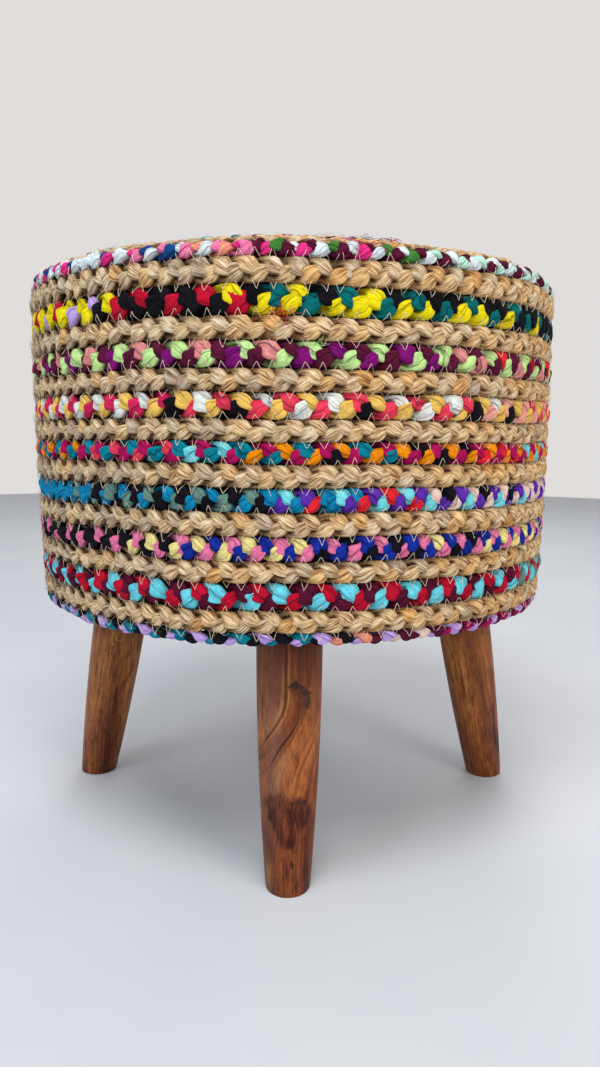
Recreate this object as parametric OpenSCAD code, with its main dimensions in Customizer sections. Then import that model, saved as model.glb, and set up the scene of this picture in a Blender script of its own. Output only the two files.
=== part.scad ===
// Round pouf: a braided jute and cotton cover over a padded timber drum, on four splayed turned legs.
// Millimetres, +Z up, origin on the floor under the middle of the drum. The front leg points to -Y.
// The cover is a stack of level braids sewn edge to edge: each is drawn as a plain ring of the braid's
// size, with a crest that stands proud of the seams beside it.

/* [Drum] */
// Widest diameter, over the crests of the braids
drum_d = 400; // [380:2:420]
// Height of the base board's underside above the floor
base_z = 175.6; // [150:0.2:220]
// How much smaller the drum's radius is at its bottom edge than at its belly
bottom_draw_in = 3.5; // [2:0.5:9]
// Height of the belly, the widest place, above the base board's underside
belly_height = 150; // [120:5:170]
// Slope of the top where it leaves the shoulder, in degrees
top_edge_slope = 26; // [20:1:30]
// How suddenly the crown falls away near the shoulder: higher is flatter in the middle
crown_power = 7; // [5:1:9]

/* [Braids] */
// Width of a jute braid, seam to seam
jute_w = 13.5; // [12.5:0.1:14.5]
// Width of a braid of cotton strips, seam to seam
cloth_w = 15; // [14:0.1:16]
// Thickness of a braid at its seams
braid_t = 9; // [7.5:0.5:10]
// How far a braid's crest stands proud of its seams
braid_bulge = 2; // [1:0.25:2.5]
// Gap between neighbouring braids, where the stitching runs
seam_gap = 0.3; // [0.2:0.1:0.5]
// Radius of the roll of the last braid round the drum's bottom edge, over its crest
bottom_roll_r = 9; // [8:0.5:11]
// Radius of the small jute coil in the middle of the top
coil_r = 21; // [19:0.5:25]

/* [Padding] */
// Thickness of the foam seat pad in the middle
pad_t = 40; // [30:1:60]
// Rounding of the pad's upper edge, under the shoulder braid
pad_edge_r = 0.9; // [0.6:0.1:3]
// Thickness of the side wadding where it is thinnest, at the bottom edge
wadding_t = 4.5; // [1:0.25:6]
// Gap between soft pieces that lie against each other
fit_gap = 0.3; // [0.2:0.1:0.5]

/* [Timber drum] */
// Thickness of the plywood base board
base_board_t = 15; // [15:1:18]
// Thickness of the plywood board under the seat pad
top_board_t = 12; // [9:1:18]
// Thickness of the hardboard bent round both boards
wall_t = 3; // [2.5:0.5:5]
// Width of the butt joint where the ends of the hardboard meet, at the back
wall_joint = 1; // [0.5:0.25:3]
// Width of each square pine post
post_w = 36; // [30:1:45]

/* [Legs] */
// Diameter of a leg at its top
leg_top_d = 44; // [38:1:48]
// Diameter of a leg at the floor
leg_foot_d = 29; // [24:1:34]
// Lean of each leg outwards, in degrees
leg_splay = 9.5; // [5:0.5:13]
// From the edge of the base board to the middle of each leg plate
leg_inset = 38.6; // [38:0.2:60]

/* [Leg plates] */
// Side of the square steel leg plate
plate_w = 56; // [50:1:58]
// Thickness of the leg plate
plate_t = 2.5; // [2.4:0.1:4]
// Corner radius of the leg plate
plate_corner_r = 6; // [3:0.5:9]
// Diameter of the slanted boss that the leg butts against
boss_d = 30; // [24:1:34]
// Clearance between the leg's highest edge and the plate
leg_clearance = 0.3; // [0.2:0.1:1]
// Diameter of the hanger bolt
bolt_d = 8; // [6:1:10]
// Length of the hanger bolt inside the leg
bolt_in_leg = 30; // [20:1:40]
// Length of the hanger bolt above the leg
bolt_above_leg = 16; // [12:1:18]
// Clearance round the hanger bolt in the base board, all round
bolt_clearance = 1.5; // [0.5:0.25:3]

/* [Screws] */
// Distance between the plate screws, both ways
plate_screw_spacing = 40; // [36:1:42]
// Length of a plate screw
plate_screw_len = 14; // [12:1:15]
// Shank diameter of the plate and frame screws
screw_d = 4; // [3.5:0.5:5]
// Head diameter of the plate and frame screws
screw_head_d = 8; // [7:0.5:9]
// Height of the countersunk screw head
screw_head_h = 2.2; // [2:0.1:2.4]
// Length of a frame screw
frame_screw_len = 45; // [35:1:50]
// Distance between the two screws in each end of a post
frame_screw_spacing = 18; // [14:1:20]

/* [Hem and dust cover] */
// Width of the calico hem, from the last braid to its inner edge under the base board
hem_w = 17.5; // [13:0.5:22]
// Thickness of the hem
hem_t = 1; // [0.8:0.1:1.5]
// Distance from the edge of the base board to the edge of the dust cover
dust_inset = 1; // [0.5:0.5:2]
// Thickness of the dust cover
dust_t = 0.5; // [0.3:0.1:1]
// Clearance of the dust cover and the hem round each leg plate
window_gap = 1; // [0.5:0.25:2]

/* [Staples] */
// Width of a staple's crown
staple_w = 10; // [8:0.5:12]
// Thickness of the staple wire
staple_wire = 0.6; // [0.5:0.1:0.7]
// Length of a staple's legs
staple_len = 8; // [6:0.5:10]
// Number of staples in the hem
hem_staples_n = 24; // [16:4:28]
// Number of staples in the dust cover
dust_staples_n = 24; // [16:4:28]
// Number of staples that hold the hardboard to each board
wall_staples_n = 12; // [8:4:16]
// Distance of the hardboard's staples from the inner face of each board
wall_staple_inset = 4; // [2:0.5:6]
// Distance of the hem's staples from the edge of the base board
hem_staple_inset = 2.4; // [2:0.1:3]
// Distance of the dust cover's staples from the edge of the base board
dust_staple_inset = 5; // [4.5:0.1:6]

/* [Hidden] */

// Facets of a small circle, of one as wide as the drum, and of the coil's shallow dome
$fn = 96;
DRUM_FN = 180;
DOME_FN = 720;

LEG_NAMES = ["front", "right", "back", "left"];
POST_NAMES = ["front_right", "back_right", "back_left", "front_left"];
QUARTER = 90;
POST_TURN = 45;

// The braids are worked by hand, so their widths differ. Each number is how much wider than usual a
// braid of the side is, from the top down: the cotton ones between the shoulder and the bottom edge,
// and the jute ones.
CLOTH_PLUMP = [1.9, 0.1, 0.2, -2.4, -0.9, -0.4, 1.7];
JUTE_PLUMP = [1.2, -0.2, -0.4, -0.7, 0.2, 0.6, -0.6, 0.1];
SIDE_BANDS = len(CLOTH_PLUMP) + len(JUTE_PLUMP);
TOP_RINGS = 12;

CLOTH_TINTS = ["hotpink", "gold", "purple", "lightcoral", "darkorange", "teal", "royalblue", "crimson", "darkcyan"];
TOP_TINTS = ["crimson", "goldenrod", "mediumvioletred", "steelblue", "coral", "darkslateblue"];
// Cones that make up a leg's swelling taper
LEG_STEPS = 12;
// Radius that the bottom braid leaves free in the middle of its roll
ROLL_CORE_R = 0.5;
// Least distance between two corners of the padding's outline
SOFT_MARGIN = 1;
// How far a cutting solid runs past the face that it opens
CUT_MARGIN = 2;

function sum(list, count) = count <= 0 ? 0 : list[count - 1] + sum(list, count - 1);
function ray(angle) = [cos(angle), sin(angle)];

// Side of the drum. A seam is [radius, height, elevation of the outward normal].
belly_z = base_z + belly_height;
function side_r(z) = drum_d / 2 - braid_bulge - bottom_draw_in * pow((z - belly_z) / belly_height, 2);
function side_lean(z) = atan(2 * bottom_draw_in * (z - belly_z) / pow(belly_height, 2));
side_widths = [
    for (i = [0:SIDE_BANDS - 1])
        i % 2 == 0 ? jute_w + JUTE_PLUMP[i / 2] : cloth_w + CLOTH_PLUMP[(i - 1) / 2]
];
shoulder_z = base_z + sum(side_widths, SIDE_BANDS);
function side_seam(i) =
    let (z = shoulder_z - sum(side_widths, i))
    [side_r(z), z, side_lean(z)];

// Shoulder: an arc of the seams from the side to the edge of the top.
shoulder_seam_r = pad_edge_r + fit_gap + braid_t;
function arc_centre(seam, radius) = [seam.x, seam.y] - radius * ray(seam.z);
function arc_seam(seam, radius, angle) =
    let (p = arc_centre(seam, radius) + radius * ray(angle))
    [p.x, p.y, angle];
shoulder_top = arc_seam(side_seam(0), shoulder_seam_r, 90 - top_edge_slope);

// Top: z falls from the middle by the crown's height times (radius / edge radius) to the crown's power.
crown_h = shoulder_top.x * tan(top_edge_slope) / crown_power;
function crown_z(r) = shoulder_top.y + crown_h * (1 - pow(r / shoulder_top.x, crown_power));
function crown_slope(r) = atan(tan(top_edge_slope) * pow(r / shoulder_top.x, crown_power - 1));
top_widths = [for (i = [0:TOP_RINGS - 1]) i % 2 == 0 ? jute_w : cloth_w];
top_span = shoulder_top.x - coil_r;
function top_seam(i) =
    let (r = shoulder_top.x - top_span * sum(top_widths, i) / sum(top_widths, TOP_RINGS))
    [r, crown_z(r), 90 - crown_slope(r)];

// Bottom edge: the last braid rolls under the drum.
roll_seam_r = bottom_roll_r - braid_bulge;
roll_centre = arc_centre(side_seam(SIDE_BANDS), roll_seam_r);
roll_end = arc_seam(side_seam(SIDE_BANDS), roll_seam_r, -90);
roll_depth = roll_seam_r - ROLL_CORE_R;

// Inside of the cover, where the padding ends.
function inside(seam) = [seam.x, seam.y] - (braid_t + fit_gap) * ray(seam.z);
function inside_r(z) = side_r(z) - braid_t - fit_gap;
pad_top_z = crown_z(0) - braid_t - fit_gap;
pad_z = pad_top_z - pad_t;

// Timber drum
wall_r = inside_r(base_z) - wadding_t + fit_gap;
board_r = wall_r - wall_t;
top_board_z = pad_z - top_board_t;
post_z = base_z + base_board_t;
post_h = top_board_z - post_z;
post_r = sqrt(pow(board_r, 2) - pow(post_w / 2, 2)) - post_w / 2;

// Legs: the axis of each crosses the base board's underside at leg_r from the middle of the drum.
leg_r = board_r - leg_inset;
leg_drop = (plate_t + leg_clearance) / cos(leg_splay) + leg_top_d / 2 * tan(leg_splay);
leg_len = base_z / cos(leg_splay) - leg_drop;
leg_tail = leg_top_d / 2 * tan(leg_splay);
function leg_radius(s) = leg_top_d / 2 - (leg_top_d - leg_foot_d) / 2 * pow(1 - s / leg_len, 2);

// Hem and dust cover, under the base board
hem_r = roll_centre.x - seam_gap;
hem_z = base_z - hem_t;
dust_z = hem_z - dust_t;

module at_plate(turn) {
    rotate(turn) translate([0, -leg_r, base_z]) children();
}

// Local +Z runs up the leg's axis, from z = 0 where the axis crosses the base board's underside.
module on_leg_axis(turn) {
    at_plate(turn) rotate([-leg_splay, 0, 0]) children();
}

module on_posts() {
    for (i = [0:3]) rotate(POST_TURN + QUARTER * i) translate([0, -post_r, 0]) children();
}

module ring_of(count, radius, phase) {
    for (i = [0:count - 1]) rotate(360 / count * i + phase) translate([0, -radius, 0]) children();
}

module tube(outer, inner, height) {
    difference() {
        cylinder(r = outer, h = height, $fn = DRUM_FN);
        translate([0, 0, -CUT_MARGIN]) cylinder(r = inner, h = height + 2 * CUT_MARGIN, $fn = DRUM_FN);
    }
}

// The section of a braid between two seams: a band of the given depth, under an arc through both seams
// that rises the given height over the chord between them.
module braid_section(from, to, depth, rise) {
    along = [to.x - from.x, to.y - from.y] / norm([to.x - from.x, to.y - from.y]);
    outward = [along.y, -along.x];
    p = [from.x, from.y] + along * seam_gap / 2;
    q = [to.x, to.y] - along * seam_gap / 2;
    arc_r = (pow(norm(q - p) / 2, 2) + pow(rise, 2)) / (2 * rise);
    middle = (p + q) / 2 + outward * (rise - arc_r);
    intersection() {
        translate(middle) circle(r = arc_r);
        polygon([
            p - depth * ray(from.z),
            q - depth * ray(to.z),
            q + 2 * rise * ray(to.z),
            p + 2 * rise * ray(from.z)
        ]);
    }
}

module braid_ring(from, to, depth = braid_t, rise = braid_bulge) {
    rotate_extrude($fn = DRUM_FN) braid_section(from, to, depth, rise);
}

// A countersunk wood screw that points up, with its head's face at z = 0.
module screw(length) {
    cylinder(d1 = screw_head_d, d2 = screw_d, h = screw_head_h);
    cylinder(d = screw_d, h = length);
}

// A staple that points up, with its crown from z = 0 to the wire's thickness.
module staple() {
    translate([-staple_w / 2, -staple_wire / 2, 0]) cube([staple_w, staple_wire, staple_wire]);
    for (side = [-staple_w / 2, staple_w / 2 - staple_wire])
        translate([side, -staple_wire / 2, 0]) cube([staple_wire, staple_wire, staple_len]);
}

module leg(turn) {
    color("sienna") difference() {
        intersection() {
            on_leg_axis(turn) translate([0, 0, -leg_drop - leg_len]) rotate_extrude() polygon([
                [0, -leg_tail],
                for (i = [0:LEG_STEPS])
                    let (s = -leg_tail + (leg_len + leg_tail) * i / LEG_STEPS)
                    [leg_radius(s), s],
                [0, leg_len]
            ]);
            translate([-drum_d, -drum_d, 0]) cube([2 * drum_d, 2 * drum_d, base_z]);
        }
        hanger_bolt(turn);
    }
}

module leg_plate_outline(grow = 0) {
    side = plate_w + 2 * grow;
    flat = side - 2 * plate_corner_r;
    square([side, flat], center = true);
    square([flat, side], center = true);
    for (x = [-1, 1], y = [-1, 1]) translate([x, y] * flat / 2) circle(r = plate_corner_r);
}

module leg_plate(turn) {
    color("silver") difference() {
        at_plate(turn) union() {
            translate([0, 0, -plate_t]) linear_extrude(plate_t) leg_plate_outline();
            intersection() {
                rotate([-leg_splay, 0, 0]) translate([0, 0, -leg_drop]) cylinder(d = boss_d, h = 2 * leg_drop);
                translate([-plate_w / 2, -plate_w / 2, -2 * leg_drop]) cube([plate_w, plate_w, 2 * leg_drop]);
            }
        }
        hanger_bolt(turn);
        plate_screws(turn);
    }
}

module hanger_bolt(turn) {
    color("lightsteelblue") on_leg_axis(turn) translate([0, 0, -leg_drop - bolt_in_leg])
        cylinder(d = bolt_d, h = bolt_in_leg + bolt_above_leg);
}

module plate_screws(turn) {
    spread = plate_screw_spacing / 2;
    at_plate(turn) for (x = [-spread, spread], y = [-spread, spread])
        translate([x, y, -plate_t]) screw(plate_screw_len);
}

module leg_plate_screws() {
    color("gold") for (i = [0:3]) plate_screws(QUARTER * i);
}

module post_screw_places() {
    on_posts() for (x = [-1, 1]) translate([x * frame_screw_spacing / 2, 0, 0]) children();
}

module frame_screws_base() {
    color("goldenrod") post_screw_places() translate([0, 0, base_z]) screw(frame_screw_len);
}

module frame_screws_top() {
    color("goldenrod") post_screw_places() translate([0, 0, pad_z]) mirror([0, 0, 1]) screw(frame_screw_len);
}

module base_board() {
    color("burlywood") difference() {
        translate([0, 0, base_z]) cylinder(r = board_r, h = base_board_t, $fn = DRUM_FN);
        for (i = [0:3]) on_leg_axis(QUARTER * i) translate([0, 0, -CUT_MARGIN])
            cylinder(d = bolt_d + 2 * bolt_clearance, h = (base_board_t + 2 * CUT_MARGIN) / cos(leg_splay));
        leg_plate_screws();
        frame_screws_base();
        wall_staples();
        hem_staples();
        dust_cover_staples();
    }
}

module top_board() {
    color("burlywood") difference() {
        translate([0, 0, top_board_z]) cylinder(r = board_r, h = top_board_t, $fn = DRUM_FN);
        frame_screws_top();
        wall_staples();
    }
}

module post(index) {
    color("wheat") difference() {
        rotate(POST_TURN + QUARTER * index) translate([-post_w / 2, -post_r - post_w / 2, post_z])
            cube([post_w, post_w, post_h]);
        frame_screws_base();
        frame_screws_top();
    }
}

module side_wall() {
    color("peru") difference() {
        translate([0, 0, base_z]) tube(wall_r, board_r, pad_z - base_z);
        translate([-wall_joint / 2, board_r - CUT_MARGIN, base_z - CUT_MARGIN])
            cube([wall_joint, wall_t + 2 * CUT_MARGIN, pad_z - base_z + 2 * CUT_MARGIN]);
        wall_staples();
    }
}

// Staples in the hardboard, sunk flush, into the edges of both boards. The half step of the phase
// keeps them off the joint at the back.
module wall_staples() {
    crown_sink = sqrt(pow(wall_r, 2) - pow(staple_w / 2, 2));
    color("gainsboro") for (z = [post_z - wall_staple_inset, top_board_z + wall_staple_inset])
        translate([0, 0, z]) ring_of(wall_staples_n, crown_sink, 180 / wall_staples_n)
            rotate([-90, 0, 0]) staple();
}

// The wadding fills the space between the straight wall and the barrel of the cover.
module side_wadding() {
    color("whitesmoke") rotate_extrude($fn = DRUM_FN) polygon([
        [wall_r, pad_z],
        [wall_r, base_z],
        [inside_r(base_z), base_z],
        for (i = [SIDE_BANDS:-1:0])
            let (seam = side_seam(i))
            if (seam.y > base_z + SOFT_MARGIN && seam.y < pad_z - SOFT_MARGIN) [inside_r(seam.y), seam.y],
        [inside_r(pad_z), pad_z]
    ]);
}

// The seat pad is drawn in at its foot by the wall below it, swells under the shoulder and is crowned.
module seat_pad() {
    color("lemonchiffon") rotate_extrude($fn = DRUM_FN) polygon([
        [0, pad_z],
        [inside_r(pad_z), pad_z],
        for (i = [SIDE_BANDS:-1:0])
            let (seam = side_seam(i))
            if (seam.y > pad_z + SOFT_MARGIN) inside(seam),
        for (i = [0:TOP_RINGS]) inside(top_seam(i)),
        [0, pad_top_z]
    ]);
}

module side_cloth_braid(index) {
    color(CLOTH_TINTS[index - 1])
        if (index == 1) shoulder_braid();
        else if (index == 9) bottom_braid();
        else braid_ring(side_seam(2 * index - 2), side_seam(2 * index - 3));
}

module shoulder_braid() {
    half_turn = (shoulder_top.z - side_seam(0).z) / 2;
    braid_ring(side_seam(0), shoulder_top, braid_t, braid_bulge + shoulder_seam_r * (1 - cos(half_turn)));
}

module bottom_braid() {
    half_turn = (side_seam(SIDE_BANDS).z - roll_end.z) / 2;
    braid_ring(roll_end, side_seam(SIDE_BANDS), roll_depth, braid_bulge + roll_seam_r * (1 - cos(half_turn)));
}

module side_jute_braid(index) {
    color("tan") braid_ring(side_seam(2 * index - 1), side_seam(2 * index - 2));
}

module top_jute_braid(index) {
    color("tan") braid_ring(top_seam(2 * index - 2), top_seam(2 * index - 1));
}

module top_cloth_braid(index) {
    color(TOP_TINTS[index - 1]) braid_ring(top_seam(2 * index - 1), top_seam(2 * index));
}

// The coil in the middle of the top: a shallow dome of one braid's thickness.
module top_centre_coil() {
    edge = top_seam(TOP_RINGS);
    across = edge.x - seam_gap / 2;
    dome_r = (pow(across, 2) + pow(braid_bulge, 2)) / (2 * braid_bulge);
    color("tan") rotate_extrude($fn = DRUM_FN) intersection() {
        translate([0, crown_z(0) + braid_bulge - dome_r]) circle(r = dome_r, $fn = DOME_FN);
        translate([0, crown_z(0) - braid_t]) square([across, braid_t + braid_bulge]);
    }
}

module plate_windows() {
    for (i = [0:3]) rotate(QUARTER * i) translate([0, -leg_r]) leg_plate_outline(window_gap);
}

module hem_band() {
    color("ivory") difference() {
        translate([0, 0, hem_z]) linear_extrude(hem_t) difference() {
            circle(r = hem_r, $fn = DRUM_FN);
            circle(r = hem_r - hem_w, $fn = DRUM_FN);
            plate_windows();
        }
        hem_staples();
        dust_cover_staples();
    }
}

module hem_staples() {
    color("gainsboro") translate([0, 0, hem_z])
        ring_of(hem_staples_n, board_r - hem_staple_inset, 180 / hem_staples_n) staple();
}

module dust_cover() {
    color("dimgray") difference() {
        translate([0, 0, dust_z]) linear_extrude(dust_t) difference() {
            circle(r = board_r - dust_inset, $fn = DRUM_FN);
            plate_windows();
        }
        dust_cover_staples();
    }
}

module dust_cover_staples() {
    color("gainsboro") translate([0, 0, dust_z - staple_wire])
        ring_of(dust_staples_n, board_r - dust_staple_inset, 0) staple();
}

for (i = [0:3]) {
    leg(QUARTER * i);
    leg_plate(QUARTER * i);
    hanger_bolt(QUARTER * i);
    post(i);
}
for (i = [1:9]) side_cloth_braid(i);
for (i = [1:8]) side_jute_braid(i);
for (i = [1:6]) top_jute_braid(i);
for (i = [1:6]) top_cloth_braid(i);
leg_plate_screws();
base_board();
top_board();
frame_screws_base();
frame_screws_top();
side_wall();
wall_staples();
side_wadding();
seat_pad();
top_centre_coil();
hem_band();
hem_staples();
dust_cover();
dust_cover_staples();
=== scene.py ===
"""Round braided pouf: its looks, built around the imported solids.

The cover is made of level plaits of three strands, worked out as paths that weave over and under each
other round the drum. Lengths are in millimetres up to the point where a mesh is written, in metres.
The drum's axis is the Z axis, the floor is at zero and the front leg points to -Y. An angle round the
drum is zero at the front and grows towards the right as the camera sees it.
"""

from __future__ import annotations

import logging
from dataclasses import dataclass, field
from enum import Enum, IntEnum
from math import atan, cos, pi, radians, sin, sqrt, tan

import bpy
import numpy as np
from mathutils import Euler, Matrix, Vector

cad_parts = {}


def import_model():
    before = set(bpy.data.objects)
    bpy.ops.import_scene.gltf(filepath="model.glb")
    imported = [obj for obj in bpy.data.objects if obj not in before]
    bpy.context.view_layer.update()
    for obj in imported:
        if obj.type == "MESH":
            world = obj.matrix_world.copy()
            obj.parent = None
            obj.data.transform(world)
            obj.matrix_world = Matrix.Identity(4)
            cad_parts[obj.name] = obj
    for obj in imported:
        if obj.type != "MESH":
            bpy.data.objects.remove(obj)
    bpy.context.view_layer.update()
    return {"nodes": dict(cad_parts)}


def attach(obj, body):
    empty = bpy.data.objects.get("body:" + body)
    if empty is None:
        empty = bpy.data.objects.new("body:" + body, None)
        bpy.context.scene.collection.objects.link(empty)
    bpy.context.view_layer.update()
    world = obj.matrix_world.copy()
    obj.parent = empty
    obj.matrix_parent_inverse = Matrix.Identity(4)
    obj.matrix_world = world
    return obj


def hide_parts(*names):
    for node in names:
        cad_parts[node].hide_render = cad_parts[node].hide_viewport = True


LOG = logging.getLogger("pouf")
MM = 0.001
TURN = 2 * pi
QUARTER = pi / 2
BODY = "root"
Array = np.ndarray
Object = bpy.types.Object
Material = bpy.types.Material
Triple = tuple[float, float, float]
Srgb = tuple[int, int, int]


class Tint(Enum):
    """Colours of the cotton strips, as sRGB values from 0 to 255."""

    LEMON = (240, 222, 20)
    CRIMSON = (178, 14, 44)
    BLACK = (14, 13, 20)
    DARK_TEAL = (0, 98, 100)
    LILAC = (188, 158, 224)
    PURPLE = (118, 14, 104)
    PLUM = (84, 18, 48)
    LIME = (184, 220, 140)
    DUSTY_PINK = (208, 130, 126)
    CORAL = (218, 58, 82)
    SOFT_YELLOW = (244, 198, 96)
    PALE_GREY = (216, 220, 212)
    ORANGE = (248, 146, 12)
    MAGENTA = (164, 12, 82)
    TEAL = (0, 120, 140)
    LIGHT_CYAN = (108, 202, 210)
    LAKE_BLUE = (8, 122, 165)
    SAGE = (94, 128, 118)
    VIOLET = (88, 42, 158)
    RED = (212, 36, 46)
    BLUSH = (248, 216, 206)
    ROYAL_BLUE = (18, 42, 142)
    PINK = (220, 112, 154)
    CREAM = (240, 224, 142)
    MAROON = (80, 14, 42)
    ICE = (206, 218, 222)
    HOT_PINK = (224, 48, 128)
    GREEN = (58, 118, 48)
    SALMON = (240, 148, 122)
    NAVY = (16, 62, 120)
    PEACH = (244, 168, 150)
    MINT = (176, 222, 204)
    ROSE = (196, 34, 84)
    CYAN = (100, 198, 214)

    def linear(self) -> Triple:
        """Returns the colour as linear red, green and blue."""
        return linear(self.value)


def linear(colour: Srgb) -> Triple:
    """Turns an sRGB colour from 0 to 255 into linear values from 0 to 1.

    Args:
        colour: Its red, green and blue.

    Returns:
        The linear red, green and blue: ((c + 0.055) / 1.055) to the power 2.4, or c / 12.92 when dark.
    """
    shares = np.array(colour) / 255
    dark = shares / 12.92
    light = ((shares + 0.055) / 1.055) ** 2.4
    return tuple(float(x) for x in np.where(shares <= 0.04045, dark, light))


class Sock:
    """A shader socket that can be used in sums, products and differences."""

    def __init__(self, tree: "Nodes", socket: bpy.types.NodeSocket | None) -> None:
        """Wraps an output socket of the given tree."""
        self.tree = tree
        self.socket = socket

    def _math(self, operation: str, first: object, second: object = 0.0) -> "Sock":
        """Adds a Math node and returns its value."""
        return self.tree.node("ShaderNodeMath", {"operation": operation}, {0: first, 1: second})

    def __add__(self, other: object) -> "Sock":
        """Returns self + other."""
        return self._math("ADD", self, other)

    __radd__ = __add__

    def __sub__(self, other: object) -> "Sock":
        """Returns self - other."""
        return self._math("SUBTRACT", self, other)

    def __rsub__(self, other: object) -> "Sock":
        """Returns other - self."""
        return self._math("SUBTRACT", other, self)

    def __mul__(self, other: object) -> "Sock":
        """Returns self * other."""
        return self._math("MULTIPLY", self, other)

    __rmul__ = __mul__

    def __truediv__(self, other: object) -> "Sock":
        """Returns self / other."""
        return self._math("DIVIDE", self, other)

    def __pow__(self, other: object) -> "Sock":
        """Returns self to the power of other."""
        return self._math("POWER", self, other)

    def __abs__(self) -> "Sock":
        """Returns the value without its sign."""
        return self._math("ABSOLUTE", self)

    def other(self, out: object) -> "Sock":
        """Returns another output of the same node, by name or number."""
        return Sock(self.tree, self.socket.node.outputs[out])

    def at_least(self, other: object) -> "Sock":
        """Returns the larger of self and other."""
        return self._math("MAXIMUM", self, other)

    def at_most(self, other: object) -> "Sock":
        """Returns the smaller of self and other."""
        return self._math("MINIMUM", self, other)


class Nodes:
    """Builds the node tree of one material, or of the world."""

    def __init__(self, owner: Material | bpy.types.World) -> None:
        """Empties the owner's node tree."""
        self.owner = owner
        owner.use_nodes = True
        self.tree = owner.node_tree
        self.tree.nodes.clear()

    @classmethod
    def material(cls, name: str) -> "Nodes":
        """Returns the tree of a new material with the given name."""
        return cls(bpy.data.materials.new(name))

    def node(
        self, kind: str, settings: dict[str, object] | None = None,
        inputs: dict[object, object] | None = None, out: object = 0,
    ) -> Sock:
        """Adds a node of any type.

        Args:
            kind: The node's type.
            settings: Its properties, set before its sockets. "stops" holds a ramp's positions and colours.
            inputs: Its sockets by name or number, each a value or the socket that is linked to it.
            out: The output socket that is returned, by name or number, or None for a node without one.

        Returns:
            The chosen output, wrapped.
        """
        made = self.tree.nodes.new(kind)
        for key, value in (settings or {}).items():
            if key == "stops":
                self._set_stops(made.color_ramp, value)
            else:
                setattr(made, key, value)
        for key, value in (inputs or {}).items():
            if isinstance(value, Sock):
                self.tree.links.new(value.socket, made.inputs[key])
            else:
                made.inputs[key].default_value = value
        return Sock(self, None if out is None else made.outputs[out])

    @staticmethod
    def _set_stops(ramp: bpy.types.ColorRamp, stops: list[tuple[float, tuple]]) -> None:
        """Gives a colour ramp its stops, each a position and a linear colour."""
        while len(ramp.elements) < len(stops):
            ramp.elements.new(1.0)
        for element, (position, colour) in zip(ramp.elements, stops):
            element.position = position
            element.color = (*colour, 1.0)

    def uv(self) -> Sock:
        """Returns the piece's UV map, which is in metres along and across a strand."""
        return self.node("ShaderNodeUVMap", {"uv_map": "UVMap"})

    def place(self) -> Sock:
        """Returns the Object coordinates."""
        return self.node("ShaderNodeTexCoord", out="Object")

    def attribute(self, name: str, out: object = "Fac") -> Sock:
        """Returns an attribute of the mesh."""
        return self.node("ShaderNodeAttribute", {"attribute_name": name}, out=out)

    def split(self, vector: Sock) -> tuple[Sock, Sock, Sock]:
        """Returns the three parts of a vector or a colour."""
        first = self.node("ShaderNodeSeparateXYZ", None, {0: vector})
        return first, first.other(1), first.other(2)

    def joined(self, x: object, y: object, z: object) -> Sock:
        """Returns the vector of three parts."""
        return self.node("ShaderNodeCombineXYZ", None, {0: x, 1: y, 2: z})

    def vector(self, operation: str, **inputs: object) -> Sock:
        """Returns the result of a Vector Math node, whose sockets are named _0, _1 and so on."""
        numbered = {int(key[1:]): value for key, value in inputs.items()}
        return self.node("ShaderNodeVectorMath", {"operation": operation}, numbered)

    def moved(self, vector: Sock, scale: tuple, shift: tuple = (0, 0, 0), turn: tuple = (0, 0, 0)) -> Sock:
        """Returns a vector scaled, turned and shifted by a Mapping node."""
        inputs = {"Vector": vector, "Scale": scale, "Location": shift, "Rotation": turn}
        return self.node("ShaderNodeMapping", None, inputs)

    def noise(self, vector: Sock, detail: float = 2.0, rough: float = 0.5, scale: float = 1.0) -> Sock:
        """Returns fractal noise of a vector."""
        inputs = {"Vector": vector, "Scale": scale, "Detail": detail, "Roughness": rough}
        return self.node("ShaderNodeTexNoise", None, inputs, "Fac")

    def ramp(self, value: Sock, stops: dict[float, Srgb]) -> Sock:
        """Returns the colour that a ramp gives a value, from its positions and their sRGB colours."""
        return self.blend(value, [(position, linear(colour)) for position, colour in stops.items()])

    def blend(self, value: Sock, stops: list[tuple[float, tuple]]) -> Sock:
        """Returns the colour that a ramp gives a value, from its positions and their linear colours."""
        return self.node("ShaderNodeValToRGB", {"stops": stops}, {"Fac": value})

    def grade(self, value: Sock, low: float, high: float, start: float = 0.0, end: float = 1.0) -> Sock:
        """Returns a value moved from the range low to high into start to end, and held there."""
        inputs = {"Value": value, "From Min": low, "From Max": high, "To Min": start, "To Max": end}
        return self.node("ShaderNodeMapRange", {"clamp": True}, inputs)

    def mix(self, share: object, first: object, second: object, blend: str = "MIX") -> Sock:
        """Returns two colours mixed by a share, each a socket or an sRGB colour."""
        inputs = {0: share, 6: self._rgba(first), 7: self._rgba(second)}
        return self.node("ShaderNodeMix", {"data_type": "RGBA", "blend_type": blend}, inputs, 2)

    def glaze(self, under: Sock, over: object, share: object = 1.0) -> Sock:
        """Returns a colour multiplied by another, as far as the share says."""
        return self.mix(share, under, over, "MULTIPLY")

    @staticmethod
    def _rgba(colour: object) -> object:
        """Returns a socket as it is, and an sRGB colour in linear values with its alpha."""
        return colour if isinstance(colour, Sock) else (*linear(colour), 1.0)

    def bump(self, height: Sock, distance: float, strength: float = 1.0, under: Sock | None = None) -> Sock:
        """Returns a normal bent by a height, whose full range stands for the distance in metres."""
        inputs = {"Height": height, "Distance": distance, "Strength": strength}
        if under is not None:
            inputs["Normal"] = under
        return self.node("ShaderNodeBump", None, inputs)

    def surface(self, **inputs: object) -> Material:
        """Ends the tree with a principled surface.

        Args:
            inputs: The surface's sockets by name, with _ for a space.

        Returns:
            The finished material.
        """
        named = {key.replace("_", " "): value for key, value in inputs.items()}
        self.end("ShaderNodeOutputMaterial", self.node("ShaderNodeBsdfPrincipled", None, named))
        return self.owner

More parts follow.
